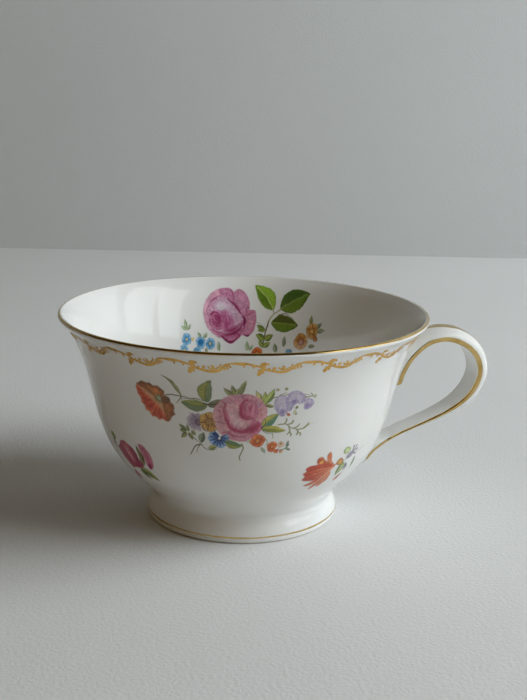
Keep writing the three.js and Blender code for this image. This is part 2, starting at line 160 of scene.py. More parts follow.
def wall_points(turn, height, lift, inside=False):
    """Points standing lift off the wall's outside, or off its inside. Turn in radians."""
    radius = np.interp(height, WALL_SIDE[:, 1], WALL_SIDE[:, 0])
    slope = np.interp(height, WALL_SIDE[:, 1], WALL_SLOPE)
    if inside:
        share = np.interp(height, WALL_SIDE[:, 1], WALL_RUN / WALL_RUN[-1])
        lift = -wall_thickness(share) - lift
    size = np.sqrt(1 + slope**2)
    radius = radius + lift / size
    return np.stack(
        [radius * np.cos(turn), radius * np.sin(turn), height - lift * slope / size], axis=-1
    )


# ---------- meshes ----------


def piece(name, points, faces, material, slot, nodes, sharp=50.0, closed=True):
    """A mesh from points in mm about the cup's axis, riding on the root body."""
    mesh = bpy.data.meshes.new(name)
    points = np.asarray(points, float) * MM + [AXIS_X, 0, 0]
    mesh.from_pydata(points.tolist(), [], [list(map(int, f)) for f in faces])
    mesh.polygons.foreach_set("use_smooth", [True] * len(mesh.polygons))
    mesh.set_sharp_from_angle(angle=math.radians(sharp))
    mesh.materials.append(material)
    mesh.update()
    thing = bpy.data.objects.new(name, mesh)
    bpy.context.scene.collection.objects.link(thing)
    if closed:
        turn_outwards(mesh)
    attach(thing, "root")
    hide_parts(*nodes)
    return thing


def turn_outwards(mesh):
    """Flips a closed mesh whose faces look inwards."""
    mesh.calc_loop_triangles()
    count = len(mesh.loop_triangles)
    corners = np.zeros(count * 3, np.int32)
    mesh.loop_triangles.foreach_get("vertices", corners)
    points = np.zeros(len(mesh.vertices) * 3)
    mesh.vertices.foreach_get("co", points)
    a, b, c = points.reshape(-1, 3)[corners.reshape(-1, 3)].transpose(1, 0, 2)
    if np.einsum("ij,ij->i", a, np.cross(b, c)).sum() < 0:
        mesh.flip_normals()


def grid_faces(rows, columns, wrap_rows=False, wrap_columns=False):
    i = np.arange(rows if wrap_rows else rows - 1)[:, None]
    j = np.arange(columns if wrap_columns else columns - 1)[None, :]
    i2, j2 = (i + 1) % rows, (j + 1) % columns
    quads = np.stack([i * columns + j, i * columns + j2, i2 * columns + j2, i2 * columns + j], -1)
    return quads.reshape(-1, 4)


def lathe(profile, around=288):
    """A turned solid. The profile closes on itself, or runs from the axis to the axis."""
    profile = np.asarray(profile, float)
    on_axis = profile[0, 0] < 1e-6 and profile[-1, 0] < 1e-6
    body = profile[1:-1] if on_axis else profile
    turn = 2 * np.pi * np.arange(around) / around
    rings = np.stack(
        [
            body[:, :1] * np.cos(turn),
            body[:, :1] * np.sin(turn),
            np.repeat(body[:, 1:], around, axis=1),
        ],
        axis=-1,
    ).reshape(-1, 3)
    faces = grid_faces(len(body), around, wrap_rows=not on_axis, wrap_columns=True).tolist()
    points = rings.tolist()
    if on_axis:
        first, last = len(points), len(points) + 1
        points += [[0, 0, profile[0, 1]], [0, 0, profile[-1, 1]]]
        top = (len(body) - 1) * around
        for j in range(around):
            k = (j + 1) % around
            faces.append([first, k, j])
            faces.append([last, top + j, top + k])
    return points, faces


def loft(sections, closed=False):
    """Skin over section loops of equal point counts, capped unless it closes on itself."""
    sections = np.asarray(sections, float)
    rows, columns = sections.shape[:2]
    faces = grid_faces(rows, columns, wrap_rows=closed, wrap_columns=True).tolist()
    if not closed:
        faces.append(list(range(columns))[::-1])
        faces.append([(rows - 1) * columns + j for j in range(columns)])
    return sections.reshape(-1, 3), faces


# ---------- materials ----------


def nodes_of(name):
    material = bpy.data.materials.new(name)
    material.use_nodes = True
    tree = material.node_tree
    shader = tree.nodes["Principled BSDF"]
    place = tree.nodes.new("ShaderNodeTexCoord").outputs["Object"]
    return material, tree, shader, place


def noise(tree, place, scale, detail=2.0, rough=0.5):
    node = tree.nodes.new("ShaderNodeTexNoise")
    node.inputs["Scale"].default_value = scale
    node.inputs["Detail"].default_value = detail
    node.inputs["Roughness"].default_value = rough
    tree.links.new(place, node.inputs["Vector"])
    return node.outputs["Fac"]


def ramp(tree, value, low, high, from_low=0.3, from_high=0.7):
    node = tree.nodes.new("ShaderNodeMapRange")
    node.inputs["From Min"].default_value = from_low
    node.inputs["From Max"].default_value = from_high
    node.inputs["To Min"].default_value = low
    node.inputs["To Max"].default_value = high
    tree.links.new(value, node.inputs["Value"])
    return node.outputs["Result"]


def blend(tree, share, first, second):
    """Mixes two colours, each a linear RGB triple or a socket."""
    node = tree.nodes.new("ShaderNodeMix")
    node.data_type = "RGBA"
    tree.links.new(share, node.inputs["Factor"])
    for name, value in (("A", first), ("B", second)):
        socket = next(s for s in node.inputs if s.name == name and s.type == "RGBA")
        if isinstance(value, bpy.types.NodeSocket):
            tree.links.new(value, socket)
        else:
            socket.default_value = (*value, 1)
    return next(s for s in node.outputs if s.type == "RGBA")


def bump(tree, shader, layers):
    """Adds bump layers, each (height socket, depth in metres)."""
    normal = None
    for height, depth in layers:
        node = tree.nodes.new("ShaderNodeBump")
        node.inputs["Distance"].default_value = depth
        tree.links.new(height, node.inputs["Height"])
        if normal is not None:
            tree.links.new(normal, node.inputs["Normal"])
        normal = node.outputs["Normal"]
    tree.links.new(normal, shader.inputs["Normal"])


GLAZE_WARM = (0.765, 0.757, 0.725)
GLAZE_COOL = (0.780, 0.788, 0.778)


def glaze_finish(tree, shader, place):
    """The clear feldspar glaze: a hard gloss over faintly wavy porcelain."""
    shader.inputs["IOR"].default_value = 1.52
    shader.inputs["Specular IOR Level"].default_value = 0.6
    shader.inputs["Subsurface Weight"].default_value = 0.12
    shader.inputs["Subsurface Radius"].default_value = (1.0, 0.8, 0.6)
    shader.inputs["Subsurface Scale"].default_value = 0.0015
    wave = noise(tree, place, 70, 1.0)
    peel = noise(tree, place, 900, 1.0)
    bump(tree, shader, [(wave, 0.00004), (peel, 0.0000012)])


def glaze_colour(tree, place):
    tone = noise(tree, place, 28, 3.0)
    return blend(tree, ramp(tree, tone, 0, 1), GLAZE_WARM, GLAZE_COOL)


def porcelain_material():
    material, tree, shader, place = nodes_of("porcelain_glaze")
    glaze_finish(tree, shader, place)
    split = tree.nodes.new("ShaderNodeSeparateXYZ")
    tree.links.new(place, split.inputs["Vector"])
    bare = ramp(tree, split.outputs["Z"], 1, 0, 0.00015, 0.0005)  # unglazed foot rest
    grit = noise(tree, place, 2500, 3.0)
    biscuit = blend(tree, ramp(tree, grit, 0, 1), (0.60, 0.56, 0.48), (0.72, 0.68, 0.60))
    colour = blend(tree, bare, glaze_colour(tree, place), biscuit)
    tree.links.new(colour, shader.inputs["Base Color"])
    gloss = ramp(tree, noise(tree, place, 120, 2.0), 0.045, 0.085)
    spread = tree.nodes.new("ShaderNodeMath")
    spread.operation = "MULTIPLY_ADD"
    tree.links.new(bare, spread.inputs[0])
    spread.inputs[1].default_value = 0.55
    tree.links.new(gloss, spread.inputs[2])
    tree.links.new(spread.outputs[0], shader.inputs["Roughness"])
    return material


def gold_material(name, low, high, rough_low, rough_high, metallic, grain):
    """Fired liquid gold: brushed on by hand, so its tone and gloss wander."""
    material, tree, shader, place = nodes_of(name)
    shader.inputs["Metallic"].default_value = metallic
    tone = noise(tree, place, grain, 3.0, 0.6)
    tree.links.new(blend(tree, ramp(tree, tone, 0, 1), low, high), shader.inputs["Base Color"])
    worn = noise(tree, place, grain * 2.3, 2.0)
    tree.links.new(ramp(tree, worn, rough_low, rough_high), shader.inputs["Roughness"])
    bump(tree, shader, [(tone, 0.00003), (noise(tree, place, grain * 8, 2.0), 0.000004)])
    return material


def enamel_material():
    """Overglaze colours, fired in: the colour layer is carried by the mesh."""
    material, tree, shader, place = nodes_of("flower_enamel")
    glaze_finish(tree, shader, place)
    paint = tree.nodes.new("ShaderNodeVertexColor")
    paint.layer_name = "paint"
    cover = tree.nodes.new("ShaderNodeAttribute")
    cover.attribute_name = "cover"
    stipple = ramp(tree, noise(tree, place, 3200, 2.0, 0.7), 0.95, 1.05, 0.3, 0.7)
    dots = tree.nodes.new("ShaderNodeVectorMath")
    dots.operation = "SCALE"
    tree.links.new(paint.outputs["Color"], dots.inputs[0])
    tree.links.new(stipple, dots.inputs["Scale"])
    bare = tree.nodes.new("ShaderNodeMath")
    bare.operation = "SUBTRACT"
    bare.inputs[0].default_value = 1.0
    tree.links.new(cover.outputs["Fac"], bare.inputs[1])
    through = tree.nodes.new("ShaderNodeVectorMath")
    through.operation = "SCALE"
    tree.links.new(glaze_colour(tree, place), through.inputs[0])
    tree.links.new(bare.outputs[0], through.inputs["Scale"])
    colour = tree.nodes.new("ShaderNodeVectorMath")
    tree.links.new(through.outputs["Vector"], colour.inputs[0])
    tree.links.new(dots.outputs["Vector"], colour.inputs[1])
    tree.links.new(colour.outputs["Vector"], shader.inputs["Base Color"])
    gloss = ramp(tree, noise(tree, place, 400, 2.0), 0.07, 0.14)
    tree.links.new(gloss, shader.inputs["Roughness"])
    return material


PORCELAIN = porcelain_material()
BRIGHT_GOLD = gold_material(
    "bright_gold", (0.54, 0.36, 0.12), (0.74, 0.54, 0.23), 0.06, 0.15, 1.0, 260
)
SCROLL_GOLD = gold_material(
    "scroll_gold", (0.60, 0.33, 0.07), (0.80, 0.50, 0.14), 0.24, 0.38, 0.8, 600
)
ENAMEL = enamel_material()

# ---------- porcelain body ----------

LIP_ARC_STEPS = 18
WELL_SHARE = 0.08  # where the inside leaves the wall and turns into the floor


def bowl_profile():
    angles = np.linspace(-LIP_FLARE, math.pi - LIP_FLARE, LIP_ARC_STEPS + 1)
    lip = LIP_CENTRE + LIP_ROUNDING * np.stack([np.cos(angles), np.sin(angles)], axis=1)
    heights = at_lengths(WALL_SIDE, np.linspace(0.97, WELL_SHARE, 90) * WALL_RUN[-1])[:, 1]
    wall = wall_points(0, heights, 0, inside=True)[:, [0, 2]]
    well = curve([wall[-7], wall[-1], (20.6, 10.15), (13, FLOOR_HEIGHT + 0.06), (0, FLOOR_HEIGHT)], 9)
    base = [(r, NECK_HIGH) for r in (0, 8, 15, 20, 23)]
    return np.vstack([base, WALL_SIDE[::4], lip, wall, well[10:]])


def foot_profile():
    bore = curve(FOOT_BORE, 8)
    return np.vstack([FOOT_SIDE[::4], FOOT_SIDE[-1:], bore])


def neck_profile():
    """The slip that lutes the foot on, with its fillet inside the foot ring."""
    fillet = curve([(20.0, NECK_HIGH), (20.7, 6.86), (21.2, 6.5), (21.49, 6.0)], 6)
    return np.vstack([NECK_SIDE[::3], NECK_SIDE[-1:], fillet, [(21.4, NECK_LOW)]])


piece("cup_bowl", *lathe(bowl_profile(), 360), PORCELAIN, "porcelain", ["bowl"])
piece("cup_foot", *lathe(foot_profile()), PORCELAIN, "porcelain", ["foot_ring"])
piece("cup_foot_joint", *lathe(neck_profile()), PORCELAIN, "slip", ["foot_slip_joint"])

# ---------- handle ----------

HANDLE_CURVE = curve(HANDLE_PATH, 60)
HANDLE_LENGTH = lengths(HANDLE_CURVE)[-1]
HANDLE_TANGENT = tangents(HANDLE_CURVE)
HANDLE_SHARE = lengths(HANDLE_CURVE) / HANDLE_LENGTH
HANDLE_STATIONS = 260
SECTION_STEPS = 96


def rounded(distance, reach):
    """0 at an end, 1 from reach onwards, along a quarter circle."""
    x = min(max(distance / reach, 0), 1)
    return math.sqrt(1 - (1 - x) ** 2)


def root_sink(share):
    """How far the inner face has thickened towards the wall at the lower root."""
    return LOWER_ROOT_SINK * smoothstep(share, LOWER_ROOT_START, 1)


def handle_section(share):
    """The strap's section as [across, rise], from the middle of its inner face round."""
    from_start = share * HANDLE_LENGTH
    to_end = (1 - share) * HANDLE_LENGTH
    narrowing = smoothstep(share, NARROWING_START, NARROWING_END)
    half = lerp(HANDLE_WIDTH_AT_TOP, HANDLE_WIDTH_AT_TAIL, narrowing) / 2
    half *= lerp(0.62, 1, rounded(from_start, 2.2)) * lerp(0.5, 1, rounded(to_end, 3.0))
    low = 1.7 * (1 - rounded(from_start, 1.8))
    low -= root_sink(share)
    swell = lerp(0.35, 1, rounded(to_end, 4.5))
    side, dome = (np.interp(share, HANDLE_BUILD[:, 0], HANDLE_BUILD[:, k]) * swell for k in (1, 2))
    flatness = lerp(1, 2, smoothstep(share, 0.5, 0.75))  # a half ellipse, then a flatter arch
    angles = np.linspace(0, math.pi / 2, 7)
    fillet = [
        (half - HANDLE_CORNER * (1 - math.sin(a)), low + HANDLE_CORNER * (1 - math.cos(a)))
        for a in angles
    ]
    crown = [
        (half * math.cos(a), side + dome * abs(math.sin(a)) ** flatness)
        for a in np.linspace(0, math.pi, 37)
    ]
    return np.array([(0, low), *fillet, *crown, *[(-x, y) for x, y in fillet[::-1]]])


def handle_place(share, across, rise):
    at = np.array([np.interp(share, HANDLE_SHARE, HANDLE_CURVE[:, k]) for k in (0, 1)])
    along = np.array([np.interp(share, HANDLE_SHARE, HANDLE_TANGENT[:, k]) for k in (0, 1)])
    outward = np.array([-along[1], along[0]]) / np.linalg.norm(along)
    across, rise = np.asarray(across), np.asarray(rise)
    return np.stack(
        [at[0] + outward[0] * rise, across + 0 * rise, at[1] + outward[1] * rise], axis=-1
    )


def closed_section(share):
    section = handle_section(share)
    return np.vstack([section, section[:1]])


def handle_ring(share):
    section = closed_section(share)
    run = lengths(section)
    even = at_lengths(section, np.linspace(0, run[-1], SECTION_STEPS, endpoint=False))
    return handle_place(share, even[:, 0], even[:, 1])


def section_strip(share, middle, half, lift, steps=6):
    """Part of the section's outline, lifted off it. Lengths run round from the inner face's
    middle towards +Y; a negative middle runs the other way, None is the crown's top."""
    section = closed_section(share)
    total = lengths(section)[-1]
    centre = total / 2 if middle is None else middle % total
    wanted = centre + np.linspace(-half, half, steps)
    at = at_lengths(section, wanted)
    step = 0.02
    along = at_lengths(section, wanted + step) - at_lengths(section, wanted - step)
    along /= np.linalg.norm(along, axis=1)[:, None] + 1e-12
    out = np.stack([along[:, 1], -along[:, 0]], axis=1)
    at = at + out * lift
    return handle_place(share, at[:, 0], at[:, 1])


def film_on_handle(shares, middle_of, half_of):
    sections = []
    for share in shares:
        middle, half = middle_of(share), max(half_of(share), 0.01)
        top = section_strip(share, middle, half, FILM)
        under = section_strip(share, middle, half, -SUNK)
        sections.append(np.vstack([top, under[::-1]]))
    return loft(sections)


handle_mesh = loft([handle_ring(s) for s in np.linspace(0, 1, HANDLE_STATIONS)])
piece("cup_handle", *handle_mesh, PORCELAIN, "porcelain", ["handle"])

# ---------- slip joints under the handle ----------

FILLET = 1.1  # how far the slip climbs between wall and strap
SLIP_CELL = 0.16
SLIP_EDGE = 0.004  # thinner than this, the slip is left out


def slip_fillet(name, node, half_width, low, high):
    """Slip smeared into the corner between the wall and one root of the strap."""
    points, faces = handle_mesh
    tree = BVHTree.FromPolygons(points.tolist(), [tuple(f) for f in faces])
    radius = np.interp((low + high) / 2, WALL_SIDE[:, 1], WALL_SIDE[:, 0])
    across = np.arange(-half_width, half_width + SLIP_CELL, SLIP_CELL)
    height = np.arange(low, high + SLIP_CELL, SLIP_CELL)
    turn, up = np.meshgrid(across / radius, height, indexing="ij")
    base = wall_points(turn, up, 0.0)
    lift = np.zeros(turn.shape)
    for index in np.ndindex(turn.shape):
        at = Vector(base[index])
        found, normal, _, distance = tree.find_nearest(at)
        if (at - found).dot(normal) < 0:
            distance = 0.0
        gap = max(FILLET - distance, 0.0)
        lift[index] = FILLET - math.sqrt(FILLET**2 - gap**2)
    over = wall_points(turn, up, lift - SLIP_EDGE)
    quads = grid_faces(*turn.shape)
    raised = lift.reshape(-1) > SLIP_EDGE
    inside = (lift > FILLET * 0.97).reshape(-1)
    keep = [q for q in quads if raised[q].any() and not inside[q].all()]
    used = np.unique(np.array(keep))
    place = {old: new for new, old in enumerate(used)}
    keep = [[place[v] for v in q] for q in keep]
    piece(name, over.reshape(-1, 3)[used], keep, PORCELAIN, "slip", [node], closed=False)


slip_fillet("cup_upper_handle_joint", "upper_handle_slip_joint", 8.5, 30.5, 47.0)
slip_fillet("cup_lower_handle_joint", "lower_handle_slip_joint", 6.5, 8.6, 22.0)

# ---------- gilding ----------

wander = np.random.default_rng(7)
LINE_STATIONS = 360  # round the lip and round the foot
LIP_LINE_START = math.radians(22)
LIP_LINE_END = math.radians(88)
FOOT_LINE_HALF = 0.19
SPINE_WIDTH = 4.4
SPINE_WIDTH_AT_TAIL = 1.2


def wobble(count, smooth, size):
    """A closed run of hand tremor: count values, smooth over that many neighbours."""
    raw = wander.normal(size=count)
    spectrum = np.fft.rfft(raw)
    spectrum *= np.exp(-((np.arange(len(spectrum)) * smooth / count) ** 2) * 8)
    out = np.fft.irfft(spectrum, count)
    return out / out.std() * size


def rim_gilding():
    turn = 2 * np.pi * np.arange(LINE_STATIONS) / LINE_STATIONS
    low = LIP_LINE_START + wobble(LINE_STATIONS, 6, 0.04)
    high = LIP_LINE_END + wobble(LINE_STATIONS, 8, 0.05)
    steps = 9
    sections = []
    for i in range(LINE_STATIONS):
        top = np.linspace(low[i], high[i], steps)
        loop = []
        for angles, reach in ((top, LIP_ROUNDING + FILM), (top[::-1], LIP_ROUNDING - SUNK)):
            for a in angles:
                r = LIP_CENTRE[0] + reach * math.cos(a)
                z = LIP_CENTRE[1] + reach * math.sin(a)
                loop.append((r * math.cos(turn[i]), r * math.sin(turn[i]), z))
        sections.append(loop)
    return loft(sections, closed=True)


def foot_gilding():
    turn = 2 * np.pi * np.arange(LINE_STATIONS) / LINE_STATIONS
    low = FOOT_LINE_HEIGHT - FOOT_LINE_HALF + wobble(LINE_STATIONS, 6, 0.02)
    high = FOOT_LINE_HEIGHT + FOOT_LINE_HALF + wobble(LINE_STATIONS, 6, 0.025)
    sections = []
    for i in range(LINE_STATIONS):
        loop = []
        height = np.linspace(low[i], high[i], 5)
        for z, lift in [(z, FILM) for z in height] + [(z, -SUNK) for z in height[::-1]]:
            r = np.interp(z, FOOT_SIDE[:, 1], FOOT_SIDE[:, 0]) + lift
            loop.append((r * math.cos(turn[i]), r * math.sin(turn[i]), z))
        sections.append(loop)
    return loft(sections, closed=True)


def half_inner_face(share):
    return handle_section(share)[:, 0].max()


EDGE_START, EDGE_END = 0.006, 0.975
EDGE_WIDTH = 1.12
EDGE_WIDTH_AT_TAIL = 0.55
EDGE_WRAP = 0.3  # how far the line wraps round the corner onto the inner face


def edge_gilding(side):
    """A line along the side face, hugging the inner edge and carried on over the root."""
    shares = np.linspace(EDGE_START, EDGE_END, 260)
    tremor = wobble(256, 5, 0.035)

    def width(share):
        return lerp(EDGE_WIDTH, EDGE_WIDTH_AT_TAIL, smoothstep(share, 0.45, 0.72))

    def middle(share):
        return side * (half_inner_face(share) + root_sink(share) + (width(share) - EDGE_WRAP) / 2)

    def half(share):
        ends = rounded(share - EDGE_START, 0.004) * rounded(EDGE_END - share, 0.03)
        return ((width(share) + EDGE_WRAP) / 2 + tremor[int(share * 250)]) * ends

    return film_on_handle(shares, middle, half)


def spine_gilding():
    shares = np.linspace(SPINE_START, SPINE_END, 200)
    tremor = wobble(256, 7, 0.07)

    def half(share):
        run = (share - SPINE_START) / (SPINE_END - SPINE_START)
        swell = smoothstep(run, -0.02, 0.1)
        fade = smoothstep(run, 0.17, 0.34)
        tail = rounded(1 - run, 0.1)
        drawn = lerp(SPINE_WIDTH, SPINE_WIDTH_AT_TAIL, fade) / 2
        return (swell * drawn + tremor[int(run * 250)] * swell) * tail

    return film_on_handle(shares, lambda share: None, half)


piece("gilt_lip_line", *rim_gilding(), BRIGHT_GOLD, "bright_gold", ["rim_gilding"])
piece("gilt_foot_line", *foot_gilding(), BRIGHT_GOLD, "bright_gold", ["foot_gilding"])
for name, side, node in (
    ("gilt_handle_front_edge", -1, "handle_front_edge_gilding"),
    ("gilt_handle_back_edge", 1, "handle_back_edge_gilding"),
):
    piece(name, *edge_gilding(side), BRIGHT_GOLD, "bright_gold", [node])
piece(
    "gilt_handle_spine", *spine_gilding(), BRIGHT_GOLD, "bright_gold", ["handle_spine_gilding"]
)

# ---------- gold scroll border ----------

SCROLL_REPEATS = 18
SCROLL_START = math.radians(-95)
SCROLL_RADIUS = 45.1  # the wall's radius halfway up the border
SCROLL_RISE = 0.05
SCROLL_BOLDNESS = 1.42
SCROLL_STROKES = [
    # the knot: a thick S with a hook at its head and berries at its foot
    ([(1.1, 52.6), (0.75, 53.1), (0.25, 53.0), (0.2, 52.4), (0.5, 51.8), (0.25, 51.1),
      (-0.3, 50.7)], 0.3, 0.75, 0.5),
    ([(0.5, 53.0), (1.1, 53.2), (1.7, 52.7)], 0.3, 0.42, 0.14),
    ([(-0.95, 50.45), (0.05, 50.35)], 0.85, 1.0, 0.85),
    ([(0.1, 50.75), (0.75, 50.75)], 0.55, 0.65, 0.55),
    ([(-0.7, 51.1), (-0.2, 51.4)], 0.35, 0.5, 0.3),
    # the lower line, its tendril, berry and leaves
    ([(0.5, 51.7), (1.6, 51.3), (3.0, 50.95), (4.6, 50.7), (6.0, 50.9), (7.0, 51.6),
      (7.6, 52.4), (8.0, 52.9)], 0.35, 0.52, 0.3),
    ([(3.9, 52.1), (4.3, 51.5), (5.2, 51.35), (6.2, 51.8), (6.9, 52.5), (6.6, 53.0)],
     0.3, 0.36, 0.22),
    ([(2.5, 51.75), (3.3, 51.75)], 0.7, 0.8, 0.7),
    ([(1.5, 52.0), (2.0, 51.5)], 0.4, 0.35, 0.15),
    ([(4.7, 52.5), (5.0, 51.9), (5.3, 51.5)], 0.3, 0.5, 0.15),
    # the tassel where the line turns up
    ([(7.6, 52.6), (7.45, 51.9), (7.7, 51.3)], 0.25, 0.4, 0.6),
    ([(7.9, 52.6), (8.25, 52.0), (8.3, 51.5)], 0.25, 0.35, 0.55),
    ([(8.1, 52.8), (8.8, 52.4), (9.1, 51.9)], 0.2, 0.3, 0.5),
    # the upper line to the next knot, with hanging buds
    ([(7.8, 52.8), (9.2, 53.15), (10.9, 53.25), (12.6, 53.1), (14.2, 52.7), (15.3, 52.3),
      (16.1, 52.0)], 0.3, 0.5, 0.3),
    ([(9.4, 53.0), (11.0, 52.85), (12.4, 52.75)], 0.1, 0.28, 0.12),
    ([(11.6, 52.9), (12.0, 52.5), (11.8, 52.1)], 0.15, 0.3, 0.5),
    ([(13.7, 52.6), (14.1, 52.3), (13.95, 51.85)], 0.15, 0.35, 0.55),
]


def scroll_border():
    """Every stroke is a low crowned ribbon of fired gold, repeated right round the cup."""
    across = np.array([-1, -0.8, -0.35, 0.35, 0.8, 1, 0.5, -0.5])
    lift = np.array([0.15, 0.75, 1, 1, 0.75, 0.15, -0.5, -0.5]) * SCROLL_RISE
    points, faces = [], []
    for repeat in range(SCROLL_REPEATS):
        start = SCROLL_START + repeat * 2 * math.pi / SCROLL_REPEATS
        for guide, width, belly, end in SCROLL_STROKES:
            guide = np.array(guide) + wander.normal(size=(len(guide), 2)) * 0.035
            line = curve(guide, 8) if len(guide) > 2 else guide
            size = lengths(line)[-1]
            rows = max(9, int(size * 4))
            run = size * (1 - np.cos(np.linspace(0, math.pi, rows))) / 2
            line = at_lengths(line, run)
            t = run / size
            wide = lerp(width, end, t) + (belly - lerp(width, end, t)) * np.sin(np.pi * t)
            wide = wide * SCROLL_BOLDNESS * (1 + 0.06 * wander.normal())
            ends = [rounded(min(r, size - r) + 0.012, w / 2) for r, w in zip(run, wide)]
            half = (wide * np.array(ends) / 2)[:, None]
            side = (tangents(line) @ np.array([[0, 1], [-1, 0]]))[:, None, :]
            at = line[:, None, :] + side * (half * across)[..., None]
            turn = start + at[..., 0] / SCROLL_RADIUS
            ribbon, skin = loft(wall_points(turn, at[..., 1], lift + 0 * turn))
            faces += [[v + len(points) for v in face] for face in skin]
            points += ribbon.tolist()
    return points, faces


piece(
    "gilt_scroll_border", *scroll_border(), SCROLL_GOLD, "scroll_gold",
    ["scroll_border_transfer"],
)

# ---------- painted transfers ----------

CELL = 0.09  # mm between the mesh points that carry the paint
EDGE_SOFTNESS = 0.09
HAND_SWAY = 0.06  # how far the brush strays from a drawn outline
BRISTLE = 0.85  # mm between brush marks at a petal's rim
PAINTED = 0.01  # cover above which a cell is part of the film


def ink(text):
    """A linear colour from an sRGB hex string."""
    srgb = np.array([int(text[i : i + 2], 16) for i in (0, 2, 4)]) / 255
    return np.where(srgb <= 0.04045, srgb / 12.92, ((srgb + 0.055) / 1.055) ** 2.4)


def inside_distance(u, v, outline):
    """Distance to a closed outline, positive inside it."""
    nearest = np.full(u.shape, 1e9)
    inside = np.zeros(u.shape, bool)
    for (ax, ay), (bx, by) in zip(outline, np.roll(outline, -1, axis=0)):
        dx, dy = bx - ax, by - ay
        t = np.clip(((u - ax) * dx + (v - ay) * dy) / (dx * dx + dy * dy + 1e-12), 0, 1)
        nearest = np.minimum(nearest, (u - ax - t * dx) ** 2 + (v - ay - t * dy) ** 2)
        if ay != by:
            inside ^= ((ay > v) != (by > v)) & (u < ax + (v - ay) * dx / dy)
    return np.where(inside, 1, -1) * np.sqrt(nearest)


def soft_noise(rng, shape, blur):
    """Smooth noise of about unit size, blurred over that many cells."""
    raw = rng.normal(size=shape)
    fu = np.fft.fftfreq(shape[0])[:, None]
    fv = np.fft.fftfreq(shape[1])[None, :]
    out = np.fft.ifft2(np.fft.fft2(raw) * np.exp(-(fu**2 + fv**2) * (blur * 4.4) ** 2)).real
    return out / out.std()


